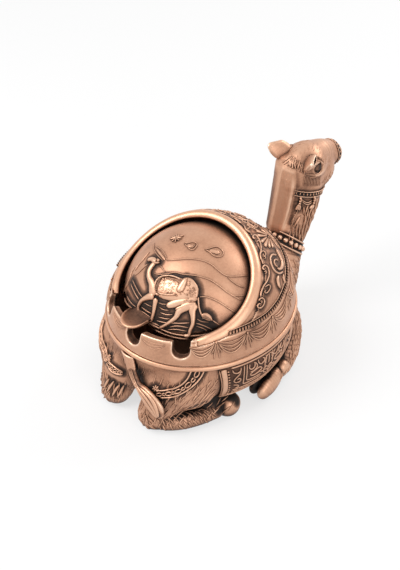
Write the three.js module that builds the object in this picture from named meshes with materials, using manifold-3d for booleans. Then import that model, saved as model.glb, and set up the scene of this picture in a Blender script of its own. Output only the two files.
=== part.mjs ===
import * as THREE from 'three';
import { mergeVertices } from 'three/addons/utils/BufferGeometryUtils.js';
import Module from 'manifold-3d';

const wasm = await Module();
wasm.setup();

// Driving dimensions, in millimetres and degrees.  The pieces are shaped about the middle of
// the bowl: height zero is the seam between cover and base, -Y is the camel's rear, where the
// opening faces the user, and +X is its right flank.  The last lines set the piece on its feet.
const SEAM_HEIGHT = 42;
const CENTRE_SHIFT = -27.07;
const GAP = 0.3;
const SEAM = 0.15;
const PLAN_STEPS = 44;

// Cover: an egg-shaped dome, its drapery band and the round bezel of the opening.
const DOME = { x: 45.2, y: 50.2, z: 46 };
const DOME_WALL = 2.2;
const BAND = { x: 46.1, y: 51.3, z: 39 };
const BAND_FULLER = 8;
const BAND_INNER = { x: 43.7, y: 46.4, z: 44 };
const BAND_EDGE = 0.4;
const BAND_TOP = [[0, 12.3], [36, 12.3], [44, 13], [56, 14], [90, 14.2], [102, 15.4],
  [116, 17.3], [130, 19.8], [150, 22], [180, 23.2]];
const ROPE_START = 61;
const ROPE_HEIGHT = 1.7;
const ROPE_PROUD = 0.9;

// Opening: a round hole drilled into the dome along a sloping line, with a smooth bezel.
const HOLE_CENTRE = [0, -15.6, 26.5];
const HOLE_LINE = new THREE.Vector3(0, -0.457, 0.889).normalize();
const HOLE_UP = new THREE.Vector3(0, 0.889, 0.457).normalize();
const HOLE_INNER = { x: 34.7, up: 33.4 };
const BEZEL_WIDTH = 5;
const BEZEL_SADDLE = 7.3;
const BEZEL_DROP = 6;
const BEZEL_SECTION = [[0, -0.5], [0.12, 0.25], [0.45, 0.8], [0.75, 0.35], [0.93, -0.6], [1, -1.4]];
const BEZEL_OPEN = [37, 46];
const SWING_ROOM = { wide: 29, middle: 43, edge: 42.1 };

// Three rest notches for sticks, cut through the band on the user's side.
const NOTCH_ANGLES = [-30, 0, 30];
const NOTCH_WIDTH = 8.6;
const NOTCH_BOTTOM = 4.4;

// Lid: a thin cap of a ball about the hinge line, with two arms, a thumb tab and its relief.
const LID_RADIUS = 41.2;
const LID_WALL = 1.5;
const LID_AXIS = new THREE.Vector3(0, -0.2606, 0.9652).normalize();
const LID_EDGE = 20.1;
const ARM_WIDTH = 10;
const ARM_OUTER = 39;
const ARM_INNER = 37.4;
const PIVOT_PAD = 5;
const PIVOT_HOLE = 1.9;
const PIVOT_SHANK = 1.6;
const PIVOT_HEAD = 3;
const WASHER_OUTER = 3.6;
const BOSS_FROM = 40.6;
const BOSS_TO = 41.8;
const BOSS_SIDE_GAP = 0.5;

// Base: the bowl-shaped body, fuller on the flanks than half an egg.
const BODY = { x: 46, y: 50.9, z: 39.5 };
const BODY_POWER = 3;
const BODY_WALL = 2.4;
const BODY_FLAT = -38.6;
const BOWL_FLOOR = -35.4;
const RIM_HEIGHT = 2.8;
const RIM_PROUD = 1.2;
const LIP_HEIGHT = 3;
const LIP_THICK = 0.9;

// Points of the section circles and ways to turn simple lists into vectors.
const SECTION_STEPS = 12;
const TAU = Math.PI * 2;
const rad = THREE.MathUtils.degToRad;
const vec = (p) => new THREE.Vector3(p[0], p[1], p[2]);

// A closed or capped skin through a row of equal rings of points, faces outward.
function loft(rings, closed = false) {
  const count = rings[0].length;
  const position = rings.flat(2);
  const index = [];
  const rows = closed ? rings.length : rings.length - 1;
  for (let i = 0; i < rows; i++) {
    const next = (i + 1) % rings.length;
    for (let j = 0; j < count; j++) {
      const k = (j + 1) % count;
      index.push(i * count + j, i * count + k, next * count + k);
      index.push(i * count + j, next * count + k, next * count + j);
    }
  }
  if (!closed) {
    for (const [row, turn] of [[0, 1], [rings.length - 1, -1]]) {
      const middle = [0, 1, 2].map((a) => rings[row].reduce((s, p) => s + p[a], 0) / count);
      const centre = position.length / 3;
      position.push(...middle);
      for (let j = 0; j < count; j++) {
        const a = row * count + j;
        const b = row * count + (j + 1) % count;
        if (turn > 0) index.push(centre, b, a);
        else index.push(centre, a, b);
      }
    }
  }
  const geometry = new THREE.BufferGeometry();
  geometry.setAttribute('position', new THREE.Float32BufferAttribute(position, 3));
  geometry.setIndex(index);
  return outward(geometry);
}

// Turns the faces of a closed skin outward where its enclosed volume comes out negative.
function outward(geometry) {
  const p = geometry.attributes.position;
  const order = geometry.index.array;
  const [a, b, c] = [new THREE.Vector3(), new THREE.Vector3(), new THREE.Vector3()];
  let volume = 0;
  for (let i = 0; i < order.length; i += 3) {
    a.fromBufferAttribute(p, order[i]);
    b.fromBufferAttribute(p, order[i + 1]);
    c.fromBufferAttribute(p, order[i + 2]);
    volume += a.dot(b.cross(c));
  }
  if (volume < 0) {
    for (let i = 0; i < order.length; i += 3) {
      [order[i], order[i + 1]] = [order[i + 1], order[i]];
    }
  }
  return geometry;
}

// A three.js geometry as a solid for joining and cutting.
function solid(geometry) {
  const bare = geometry.clone();
  bare.deleteAttribute('normal');
  bare.deleteAttribute('uv');
  const merged = mergeVertices(bare, 1e-4);
  return new wasm.Manifold(new wasm.Mesh({
    numProp: 3,
    vertProperties: new Float32Array(merged.attributes.position.array),
    triVerts: new Uint32Array(merged.index.array),
  }));
}

// The geometry of a finished solid.
function geometryOf(body) {
  const mesh = body.getMesh();
  const geometry = new THREE.BufferGeometry();
  const points = [];
  for (let i = 0; i < mesh.vertProperties.length; i += mesh.numProp) {
    points.push(...mesh.vertProperties.slice(i, i + 3));
  }
  geometry.setAttribute('position', new THREE.Float32BufferAttribute(points, 3));
  geometry.setIndex(Array.from(mesh.triVerts));
  return geometry;
}

// An egg with its middle and its three half sizes.
function egg(centre, half, wide = 18, high = 12) {
  const shape = new THREE.SphereGeometry(1, wide, high);
  shape.rotateX(Math.PI / 2);
  shape.scale(half[0], half[1], half[2]);
  shape.translate(centre[0], centre[1], centre[2]);
  return solid(shape);
}

// A box given by its two opposite corners.
function block(from, to) {
  const size = to.map((v, i) => v - from[i]);
  const shape = new THREE.BoxGeometry(size[0], size[1], size[2]);
  shape.translate(...to.map((v, i) => (v + from[i]) / 2));
  return solid(shape);
}

// A round bar along X.
function pin(radius, fromX, toX, steps = 14) {
  const shape = new THREE.CylinderGeometry(radius, radius, toX - fromX, steps);
  shape.rotateZ(Math.PI / 2);
  shape.translate((fromX + toX) / 2, 0, 0);
  return solid(shape);
}

// A limb through points [x, y, z, half width, half height], rounded at both ends.  The half
// width lies along the given sideways direction.
function limb(points, side = [1, 0, 0], steps = 10, around = SECTION_STEPS) {
  const curve = new THREE.CatmullRomCurve3(points.map(vec), false, 'centripetal');
  const across = vec(side);
  const stations = [];
  const size = (t, a) => {
    const at = t * (points.length - 1);
    const i = Math.min(Math.floor(at), points.length - 2);
    const f = at - i;
    const smooth = f * f * (3 - 2 * f);
    return points[i][a] + (points[i + 1][a] - points[i][a]) * smooth;
  };
  const round = [0.25, 0.65, 0.93];
  const add = (t, shrink, push) => {
    const along = curve.getTangent(t);
    const wide = across.clone().addScaledVector(along, -across.dot(along)).normalize();
    const high = along.clone().cross(wide);
    const reach = push * Math.min(size(t, 3), size(t, 4));
    stations.push({ at: curve.getPoint(t).addScaledVector(along, reach), wide, high,
      a: size(t, 3) * shrink, b: size(t, 4) * shrink });
  };
  for (const s of round) add(0, s, -Math.sqrt(1 - s * s));
  for (let i = 0; i <= steps; i++) add(i / steps, 1, 0);
  for (const s of round.slice().reverse()) add(1, s, Math.sqrt(1 - s * s));
  return solid(loft(stations.map((s) => {
    const ring = [];
    for (let j = 0; j < around; j++) {
      const q = (j / around) * TAU;
      const p = s.at.clone().addScaledVector(s.wide, s.a * Math.cos(q));
      p.addScaledVector(s.high, s.b * Math.sin(q));
      ring.push([p.x, p.y, p.z]);
    }
    return ring;
  })));
}

// A level ring round the bowl: half sizes along X and Y at a height.
function planRing(x, y, z, steps = PLAN_STEPS) {
  const ring = [];
  for (let i = 0; i < steps; i++) {
    const q = (i / steps) * TAU;
    ring.push([x * Math.sin(q), -y * Math.cos(q), z]);
  }
  return ring;
}

// Shrink factor of the body's or the dome's outline at a height.
function narrowing(z, depth, power) {
  return Math.pow(Math.max(0, 1 - Math.pow(Math.abs(z) / depth, power)), 1 / power);
}

// Ring of the body's outer face, moved outward by a distance.
function bodyRing(z, grow) {
  const s = narrowing(z, BODY.z + grow, BODY_POWER);
  return planRing((BODY.x + grow) * s, (BODY.y + grow) * s, z);
}

// Solid that fills the body's outline, moved outward by a distance, up to the seam.
function bodyBlock(grow, top = -SEAM) {
  const heights = [top, -4, -9, -14, -19, -24, -28, -32, -35, -37];
  const rings = heights.map((z) => bodyRing(z, grow));
  rings.push(bodyRing(BODY_FLAT - Math.min(grow, GAP), grow));
  return solid(loft(rings));
}

// Height of the band's top line at a plan angle from the user's side.
function bandTop(angle) {
  const a = Math.abs(((angle + 540) % 360) - 180);
  let i = 0;
  while (i < BAND_TOP.length - 2 && a > BAND_TOP[i + 1][0]) i++;
  const [from, to] = [BAND_TOP[i], BAND_TOP[i + 1]];
  return from[1] + (to[1] - from[1]) * (a - from[0]) / (to[0] - from[0]);
}

// Point of an egg about the bowl's middle at a plan angle and a height.
function eggPoint(half, angle, z) {
  const s = Math.sqrt(Math.max(0, 1 - (z / half.z) ** 2));
  return [half.x * s * Math.sin(rad(angle)), -half.y * s * Math.cos(rad(angle)), z];
}

// Point of the band's outer face, which stands steeper toward the shoulders.
function bandPoint(by, angle, z) {
  const fuller = BAND_FULLER * (1 - Math.cos(rad(angle))) / 2;
  return eggPoint({ x: BAND.x + by, y: BAND.y + by, z: BAND.z + by + fuller }, angle, z);
}

const grown = (half, by) => ({ x: half.x + by, y: half.y + by, z: half.z + by });
const planAngles = Array.from({ length: PLAN_STEPS }, (_, i) => (i / PLAN_STEPS) * 360);

// Base body: a hollow bowl in one skin, from the outer floor up the flanks and down inside.
const outerHeights = [-37, -35, -32, -28, -24, -19, -14, -9, -4, -SEAM];
const innerHeights = [-SEAM, -5, -12, -19, -25, -30, -33.5, BOWL_FLOOR];
const bowlRings = [bodyRing(BODY_FLAT, 0)];
outerHeights.forEach((z) => bowlRings.push(bodyRing(z, 0)));
innerHeights.forEach((z) => bowlRings.push(bodyRing(z, -BODY_WALL)));
let bowl = solid(loft(bowlRings));

// Rolled rim under the seam, a half-round bead that stands proud of the body.
function rimBead(extra) {
  const rise = RIM_HEIGHT + 2 * extra;
  const rings = [];
  for (const [out, down] of [[0, 0], [0.75, 0.08], [1, 0.35], [1, 0.65], [0.75, 0.92], [0, 1]]) {
    const z = -SEAM - 0.15 + extra - rise * down;
    rings.push(planRing(BODY.x + GAP - extra + (RIM_PROUD + 2 * extra) * out,
      BODY.y + GAP - extra + (RIM_PROUD + 2 * extra) * out, z));
  }
  return solid(loft(rings, true));
}
const rim = rimBead(0);
const rimRoom = rimBead(GAP);
const bodyRoom = bodyBlock(GAP, 5);

// Neck: a full chest that grows out of the front of the body, kneels on its pad and narrows
// under the necklace.
const NECK_LINE = [
  [0, 44, -22, 21, 15], [0, 54, -17.5, 18, 14.5], [0, 61.5, -8.5, 13.6, 12.8],
  [0, 67.2, 0.6, 10.8, 10.8], [0, 71, 7.5, 10.1, 10.4], [0, 75, 15.5, 10.4, 10.8],
  [0, 78.2, 24.6, 11.2, 11.6], [0, 81.3, 34, 11.4, 13.6], [0, 82.5, 41, 10.5, 12],
];
const CHEST_PAD = { at: [0, 45, -29.5], half: [16, 14, 13] };
const neckGrown = (by) => limb(NECK_LINE.map((p) => [p[0], p[1], p[2], p[3] + by, p[4] + by]),
  [1, 0, 0], 14, 16).add(egg(CHEST_PAD.at, CHEST_PAD.half.map((h) => h + by), 18, 10));

// Head: skull, cheeks and muzzle, looking straight ahead and a little down.
const SKULL = { at: [0, 80.8, 44.4], half: [11.4, 13.3, 11.6] };
const CHEEKS = { at: [0, 91.6, 36.4], half: [10, 10.2, 8.8] };
const MUZZLE_LINE = [
  [0, 85, 46.2, 9.8, 8.8], [0, 93.5, 44.4, 8.6, 9], [0, 100, 42.4, 7, 8.1],
  [0, 105, 40.4, 6.4, 7.1], [0, 107.4, 39, 5.6, 6],
];
function headShape(by) {
  const more = (half) => half.map((h) => h + by);
  let shape = egg(SKULL.at, more(SKULL.half), 18, 12);
  shape = shape.add(egg(CHEEKS.at, more(CHEEKS.half), 16, 10));
  shape = shape.add(limb(MUZZLE_LINE.map((p) => [p[0], p[1], p[2], p[3] + by, p[4] + by]),
    [1, 0, 0], 8, 16));
  for (const s of [-1, 1]) {
    shape = shape.add(egg([s * 7.9, 91.5, 47.4], more([2.6, 4.4, 3]), 10, 7));
  }
  return shape;
}
const GROUND = block([-90, -90, -60], [90, 130, -SEAM_HEIGHT]);
const headRoom = headShape(GAP);
let head = headShape(0);
let neck = neckGrown(0).subtract(headRoom).subtract(bodyRoom).subtract(rimRoom).subtract(GROUND);

// Ears: short leaf-shaped cups that point up, out and back.
function earShape(s, by) {
  return limb([[s * 7, 78, 49.6, 2.8 + by, 2 + by], [s * 9.8, 74.6, 52.4, 4.5 + by, 2.5 + by],
    [s * 12, 72.2, 54.6, 4.2 + by, 2.2 + by], [s * 13.4, 70.8, 55.9, 2 + by, 1.3 + by]],
  [0.35 * s, 0.5, 0.8], 6, 10);
}

// A band round the neck or the muzzle: a ring across a line, with its own half sizes.
function band(at, tilt, half, width, thick) {
  const along = new THREE.Vector3(0, Math.sin(rad(tilt)), Math.cos(rad(tilt)));
  const high = new THREE.Vector3(0, -along.z, along.y);
  const section = [[0, -0.5], [1, -0.5], [1.25, 0], [1, 0.5], [0, 0.5]];
  const steps = 24;
  const rings = section.map(([out, up]) => {
    const ring = [];
    for (let j = 0; j < steps; j++) {
      const q = (j / steps) * TAU;
      const p = vec(at).addScaledVector(along, up * width);
      p.x += (half[0] + out * thick) * Math.cos(q);
      p.addScaledVector(high, (half[1] + out * thick) * Math.sin(q));
      ring.push([p.x, p.y, p.z]);
    }
    return ring;
  });
  return solid(loft(rings, true));
}
const NECKLACE = { at: [0, 67.2, 0.6], tilt: 36, half: [10.4, 10.4], width: 4.8, thick: 1.9 };
const HALTER = { at: [0, 79.9, 29.5], tilt: 16, half: [11.3, 12.4], width: 2.6, thick: 1.3 };
const NOSEBAND = { at: [0, 102.4, 42.1], tilt: 110, half: [6.6, 7], width: 2.2, thick: 0.9 };
const neckRoom = neckGrown(GAP);
const bandOf = (b) => band(b.at, b.tilt, b.half, b.width, b.thick);
const necklace = bandOf(NECKLACE).subtract(neckRoom);
const halter = bandOf(HALTER).subtract(neckRoom).subtract(headRoom);
const noseband = bandOf(NOSEBAND).subtract(headRoom);

// Legs, folded under the body.  The hind legs splay out along the ground behind a full haunch,
// the front legs kneel and tuck the foot back beside the body.
function hindLeg(s) {
  let leg = egg([s * 22, -31.5, -14.5], [13.7, 15.2, 13.6], 16, 10);
  leg = leg.add(egg([s * 21.5, -33.5, -24.5], [13.4, 14.6, 12.5], 16, 10));
  leg = leg.add(egg([s * 17.8, -42.8, -30], [9.7, 10.5, 12], 14, 10));
  leg = leg.add(egg([s * 12.8, -51.3, -34.8], [7.2, 7.3, 7.6], 14, 10));
  leg = leg.add(limb([[s * 14.5, -49.5, -36.6, 5.2, 5.4], [s * 21.6, -45, -37.2, 4.6, 4.8],
    [s * 28.2, -38, -37.4, 4.4, 4.4], [s * 32.8, -27, -37.6, 4.3, 4]], [0, 0, 1], 6, 12));
  return leg.add(egg([s * 35.4, -18.6, -36.9], [4.9, 6.8, 5.6], 14, 8));
}
function frontLeg(s) {
  let leg = limb([[s * 26.5, 33.5, -14, 8.5, 8.5], [s * 29.2, 32, -22, 10, 10],
    [s * 34.5, 27.5, -31, 7.6, 8.2], [s * 37.8, 20.8, -36, 5.6, 6.2],
    [s * 39.2, 14.2, -34.6, 4.7, 5]], [1, 0, 0], 9, 12);
  return leg.add(limb([[s * 40, 11, -31.8, 4.5, 5.4], [s * 40.8, 4.6, -34.6, 5.2, 6.6],
    [s * 41.2, 0.8, -36.8, 4.9, 5.6]], [1, 0, 0], 5, 12))
    .add(egg([s * 27, 29.5, -34], [8, 9, 8.5], 14, 8));
}

// Saddle cloth panel on each flank: a thin raised plate between two plan lines.
const PANEL = { back: -27, front: 21, top: -3.7, bottom: -27, proud: 0.9 };
function panelShape(s, by) {
  const plate = bodyBlock(PANEL.proud + GAP + by, 1).subtract(bodyBlock(GAP - by, 2));
  const from = [s > 0 ? 5 : -60, PANEL.back - by, PANEL.bottom - by];
  const to = [s > 0 ? 60 : -5, PANEL.front + by, PANEL.top + by];
  return plate.intersect(block(from, to));
}

// Tail: hangs from under the rim, sweeps to the right haunch and ends in a tuft.
function tailShape(by) {
  const g = (p) => [p[0], p[1], p[2], p[3] + by, p[4] + by];
  return limb([[-2.9, -51.8, -4.6, 2.5, 1.2], [-1.9, -54, -10, 2.3, 1.3],
    [0.8, -55.3, -17, 2, 1.5], [5, -55.6, -21.8, 2.1, 1.7], [9.2, -56, -25, 2.9, 2.2],
    [13.8, -56.6, -28, 3.2, 2.4], [17.6, -56, -30.6, 2.2, 1.6]].map(g), [1, 0, 0.2], 16, 10);
}
const tailRoom = tailShape(GAP);
const tail = tailShape(0).subtract(bodyRoom).subtract(rimRoom);

const sides = { left: -1, right: 1 };
const legs = {};
const panels = {};
for (const [name, s] of Object.entries(sides)) {
  const panelRoom = panelShape(s, GAP);
  panels[name] = panelShape(s, 0);
  for (const [kind, shape] of [['hind', hindLeg(s)], ['front', frontLeg(s)]]) {
    let leg = shape.subtract(bodyRoom).subtract(rimRoom).subtract(panelRoom);
    leg = leg.subtract(neckRoom).subtract(tailRoom).subtract(GROUND);
    legs[`${kind}_${name}`] = leg;
  }
}
const ears = {};
for (const [name, s] of Object.entries(sides)) {
  ears[name] = earShape(s, 0).subtract(headRoom);
}

// Neck screw: a round-headed screw from inside the bowl through its front wall into the chest.
const SCREW = { height: -18, shank: 1.9, hole: 2.25, head: 4, headThick: 2, reach: 11 };
const wallInside = (BODY.y - BODY_WALL) * narrowing(SCREW.height, BODY.z - BODY_WALL, BODY_POWER);
function alongY(radius, fromY, toY, steps = 14) {
  const shape = new THREE.CylinderGeometry(radius, radius, toY - fromY, steps);
  shape.translate(0, (fromY + toY) / 2, SCREW.height);
  return solid(shape);
}
const headBack = wallInside - 1.2;
const screwHole = alongY(SCREW.hole, headBack, headBack + SCREW.headThick + SCREW.reach);
const seatCut = alongY(SCREW.head + GAP, headBack - 6, headBack + GAP);
bowl = bowl.subtract(screwHole).subtract(seatCut);
neck = neck.subtract(screwHole);
const neckScrew = alongY(SCREW.head, headBack - SCREW.headThick, headBack)
  .add(alongY(SCREW.shank, headBack - 0.5, headBack + SCREW.reach));

// Cover shell: the part of the dome above the band, hollow, with the round hole cut through.
const DOME_RISE = [0, 0.25, 0.48, 0.68, 0.84, 0.94, 0.985];
function domeRings(half, lift) {
  return DOME_RISE.map((f) => planAngles.map((a) => {
    const low = bandTop(a) + lift;
    return eggPoint(half, a, low + (half.z - low) * f);
  }));
}
function holeBar(grow, from, to) {
  const rings = [from, to].map((d) => {
    const ring = [];
    for (let j = 0; j < PLAN_STEPS; j++) {
      const q = (j / PLAN_STEPS) * TAU;
      const p = vec(HOLE_CENTRE).addScaledVector(HOLE_LINE, d);
      p.x += (HOLE_INNER.x + grow) * Math.cos(q);
      p.addScaledVector(HOLE_UP, (HOLE_INNER.up + grow) * Math.sin(q));
      ring.push([p.x, p.y, p.z]);
    }
    return ring;
  });
  return solid(loft(rings));
}
const domeInside = grown(DOME, -DOME_WALL);
let dome = solid(loft(domeRings(DOME, GAP)));
dome = dome.subtract(solid(loft([planRing(1, 1, -1)].concat(
  [0, 0.3, 0.55, 0.75, 0.9, 0.975].map((f) => planRing(
    domeInside.x * Math.sqrt(1 - f * f), domeInside.y * Math.sqrt(1 - f * f), domeInside.z * f,
  )),
))));
dome = dome.subtract(holeBar(BEZEL_WIDTH + GAP, -28, 40));

// Drapery band: the thick wall that carries the cover, open where the notches pass.
let drapery = solid(loft([
  planAngles.map((a) => bandPoint(0, a, SEAM)),
  planAngles.map((a) => bandPoint(0, a, bandTop(a) * 0.5)),
  planAngles.map((a) => bandPoint(0, a, bandTop(a) - BAND_EDGE)),
  planAngles.map((a) => bandPoint(-BAND_EDGE, a, bandTop(a))),
  planAngles.map((a) => eggPoint(BAND_INNER, a, bandTop(a) - 1.1)),
  planAngles.map((a) => eggPoint(BAND_INNER, a, bandTop(a) * 0.5)),
  planAngles.map((a) => eggPoint(BAND_INNER, a, SEAM)),
], true));
function notchBar(angle) {
  const shape = new THREE.Shape();
  const r = NOTCH_WIDTH / 2;
  shape.moveTo(r, 30);
  shape.lineTo(-r, 30);
  shape.lineTo(-r, NOTCH_BOTTOM + r);
  shape.absarc(0, NOTCH_BOTTOM + r, r, Math.PI, TAU, false);
  const bar = new THREE.ExtrudeGeometry(shape, { depth: 24, bevelEnabled: false,
    curveSegments: 12 });
  bar.rotateX(Math.PI / 2);
  bar.translate(0, -36, 0);
  bar.rotateZ(rad(angle));
  return solid(bar);
}
for (const angle of NOTCH_ANGLES) drapery = drapery.subtract(notchBar(angle));

// Bezel: a rounded ring round the hole.  Its face is flat from front to back and bends down
// toward both flanks like a saddle, and its underside leaves room for the swinging lid.
function bezelPoint(q, across, lift, under) {
  const out = BEZEL_WIDTH * across;
  const x = (HOLE_INNER.x + out) * Math.cos(q);
  const start = vec(HOLE_CENTRE).addScaledVector(HOLE_UP, (HOLE_INNER.up + out) * Math.sin(q));
  start.x += x;
  let rise = lift - BEZEL_SADDLE * (x / (HOLE_INNER.x + BEZEL_WIDTH)) ** 2;
  if (under) {
    const reach = Math.abs(x) < SWING_ROOM.wide ? SWING_ROOM.middle : SWING_ROOM.edge;
    const along = start.dot(HOLE_LINE);
    const room = Math.sqrt(reach ** 2 - start.lengthSq() + along ** 2) - along;
    rise = Math.max(rise - BEZEL_DROP, room);
  }
  const p = start.addScaledVector(HOLE_LINE, rise);
  return [p.x, p.y, p.z];
}
const bezelAngles = planAngles.map((a) => rad(a));
const bezelRows = [[0, -0.5, true], ...BEZEL_SECTION, [1, -1.4, true]];
let bezel = solid(loft(bezelRows.map(([across, lift, under]) => bezelAngles.map(
  (q) => bezelPoint(q, across, lift, under),
)), true));
const bandRoomTop = (angle) => {
  const off = Math.min(angle, 360 - angle);
  const open = THREE.MathUtils.clamp((BEZEL_OPEN[1] - off) / (BEZEL_OPEN[1] - BEZEL_OPEN[0]), 0, 1);
  return bandTop(angle) + GAP + 9 * open;
};
const bandRoom = solid(loft([
  planRing(62, 66, -4),
  planAngles.map((a) => bandPoint(9, a, bandRoomTop(a))),
  planAngles.map((a) => eggPoint({ x: 39, y: 42, z: 60 }, a, bandRoomTop(a))),
  planRing(38, 40, -4),
], true));
bezel = bezel.subtract(bandRoom);

// Twisted rope border that lies on the dome just above the band, from one side of the bezel
// round the camel's shoulders to the other.
const ropeAngles = Array.from({ length: 37 },
  (_, i) => ROPE_START + ((360 - 2 * ROPE_START) * i) / 36);
const rope = solid(loft(ropeAngles.map((a) => {
  const low = bandTop(a) + GAP + 0.1;
  return [[GAP, 0], [ROPE_PROUD, 0.2], [ROPE_PROUD, 0.8], [GAP, 1]].map(
    ([out, up]) => eggPoint(grown(DOME, out), a, low + ROPE_HEIGHT * up),
  );
})));

// Seat lip: the ring under the band that keeps the cover centred in the bowl's mouth.
const lipOut = -BODY_WALL - GAP;
const lip = solid(loft([
  planRing(BODY.x + lipOut, BODY.y + lipOut, -SEAM),
  planRing(BODY.x + lipOut, BODY.y + lipOut, -SEAM - LIP_HEIGHT),
  planRing(BODY.x + lipOut - LIP_THICK, BODY.y + lipOut - LIP_THICK, -SEAM - LIP_HEIGHT),
  planRing(BODY.x + lipOut - LIP_THICK, BODY.y + lipOut - LIP_THICK, -SEAM),
], true));

// Pivot bosses hang from the cover's inside at both sides, and each takes a screw and a washer.
const wallInsideRoom = solid(loft([-12, 0, 4, 8, 12.4].map((z) => {
  const k = Math.sqrt(1 - (Math.max(z, 0) / BAND_INNER.z) ** 2);
  return planRing((BAND_INNER.x - BOSS_SIDE_GAP) * k, (BAND_INNER.y - BOSS_SIDE_GAP) * k, z);
})));
function boss(s) {
  const shape = new THREE.Shape();
  shape.absarc(0, 0, PIVOT_PAD, Math.PI, TAU, false);
  shape.lineTo(PIVOT_PAD + 1, 12.5);
  shape.lineTo(-PIVOT_PAD - 1, 12.5);
  const plate = new THREE.ExtrudeGeometry(shape, { depth: BOSS_TO - BOSS_FROM,
    bevelEnabled: false, curveSegments: 14 });
  plate.rotateX(Math.PI / 2);
  plate.rotateZ(Math.PI / 2);
  plate.translate(BOSS_FROM, 0, 0);
  const root = block([BOSS_FROM, -PIVOT_PAD, SEAM + GAP], [BAND_INNER.x, PIVOT_PAD, 11]);
  const body = solid(plate).add(root).intersect(wallInsideRoom).subtract(pin(PIVOT_HOLE, 30, 60));
  return s > 0 ? body : body.mirror([1, 0, 0]);
}
function pivotScrew(s) {
  const screw = pin(PIVOT_HEAD, ARM_INNER - GAP - 1.5, ARM_INNER - GAP)
    .add(pin(PIVOT_SHANK, ARM_INNER - GAP - 0.5, BOSS_TO - 0.5));
  return s > 0 ? screw : screw.rotate([0, 0, 180]);
}
function pivotWasher(s) {
  const washer = pin(WASHER_OUTER, ARM_OUTER + GAP, BOSS_FROM - GAP)
    .subtract(pin(PIVOT_HOLE, 30, 60));
  return s > 0 ? washer : washer.rotate([0, 0, 180]);
}

// Lid cap: a shell of a ball about the hinge line, cut off by a plane square to its own axis.
const ball = (r, wide = 32, high = 20) => egg([0, 0, 0], [r, r, r], wide, high);
const lidTurn = new THREE.Quaternion().setFromUnitVectors(new THREE.Vector3(0, 0, 1), LID_AXIS);
function capRings(r, edge, steps) {
  const rings = [];
  const half = Math.acos(edge / r);
  for (let i = 0; i <= steps; i++) {
    const q = half * (1 - (i / steps) * 0.985);
    const ring = [];
    for (let j = 0; j < 36; j++) {
      const t = (j / 36) * TAU;
      const p = new THREE.Vector3(r * Math.sin(q) * Math.cos(t), r * Math.sin(q) * Math.sin(t),
        r * Math.cos(q)).applyQuaternion(lidTurn);
      ring.push([p.x, p.y, p.z]);
    }
    rings.push(ring);
  }
  return rings;
}
const lidCap = solid(loft(capRings(LID_RADIUS - LID_WALL, LID_EDGE, 7).reverse()
  .concat(capRings(LID_RADIUS, LID_EDGE, 7))));

// Lid arms: a strip of the ball that runs on into a flat plate with the pivot hole.
function lidArm(s) {
  const strip = new THREE.BoxGeometry(8, ARM_WIDTH, 20);
  strip.translate(36, 0, LID_EDGE - GAP - 10);
  strip.applyQuaternion(lidTurn);
  const shell = ball(LID_RADIUS).subtract(ball(LID_RADIUS - LID_WALL));
  const wrapped = solid(strip).intersect(shell).subtract(block([0, -60, -60], [ARM_INNER - 1, 60, 5]));
  const plate = new THREE.BoxGeometry(ARM_OUTER - ARM_INNER, ARM_WIDTH, 17.6);
  plate.translate((ARM_OUTER + ARM_INNER) / 2, 0, 17.6 / 2);
  plate.applyQuaternion(lidTurn);
  let arm = solid(plate).intersect(ball(LID_RADIUS));
  arm = arm.add(pin(PIVOT_PAD, ARM_INNER, ARM_OUTER, 28));
  const flat = block([ARM_OUTER, -60, -60], [60, 60, 60]);
  arm = arm.add(wrapped.subtract(flat)).subtract(pin(PIVOT_HOLE, 30, 60));
  return s > 0 ? arm : arm.mirror([1, 0, 0]);
}

// Point on the lid: angle up from the user's side, angle to the right, and distance out.
function lidPoint(up, right, r) {
  return [r * Math.sin(rad(right)), -r * Math.cos(rad(right)) * Math.cos(rad(up)),
    r * Math.cos(rad(right)) * Math.sin(rad(up))];
}

// Thumb tab: a crescent lip at the lid's lower edge that stands out over the middle notch.
// Each line gives the angle up at the middle, the angle up at the ends and the distance out.
const TAB_HALF = 16;
const TAB_ROUNDING = 1.6;
const TAB_ROOT = { low: [14.3, 15.4], high: [16.6, 17.7], out: LID_RADIUS - 1 };
const TAB_TIP = { low: [14.7, 20.4], high: [19.2, 22.8], out: 52 };
function tabRing(edge, rounding) {
  const bow = Array.from({ length: 13 }, (_, j) => j / 6 - 1);
  const row = ([middle, end], narrow) => bow.map((f) => lidPoint(middle + (end - middle) * f * f,
    TAB_HALF * f * narrow, edge.out - rounding * f * f));
  return [...row(edge.high, 1), ...row(edge.low, 0.98).reverse()];
}
const tab = solid(loft([tabRing(TAB_ROOT, 0), tabRing(TAB_TIP, TAB_ROUNDING)]))
  .subtract(ball(LID_RADIUS + GAP, 48, 32));

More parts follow.
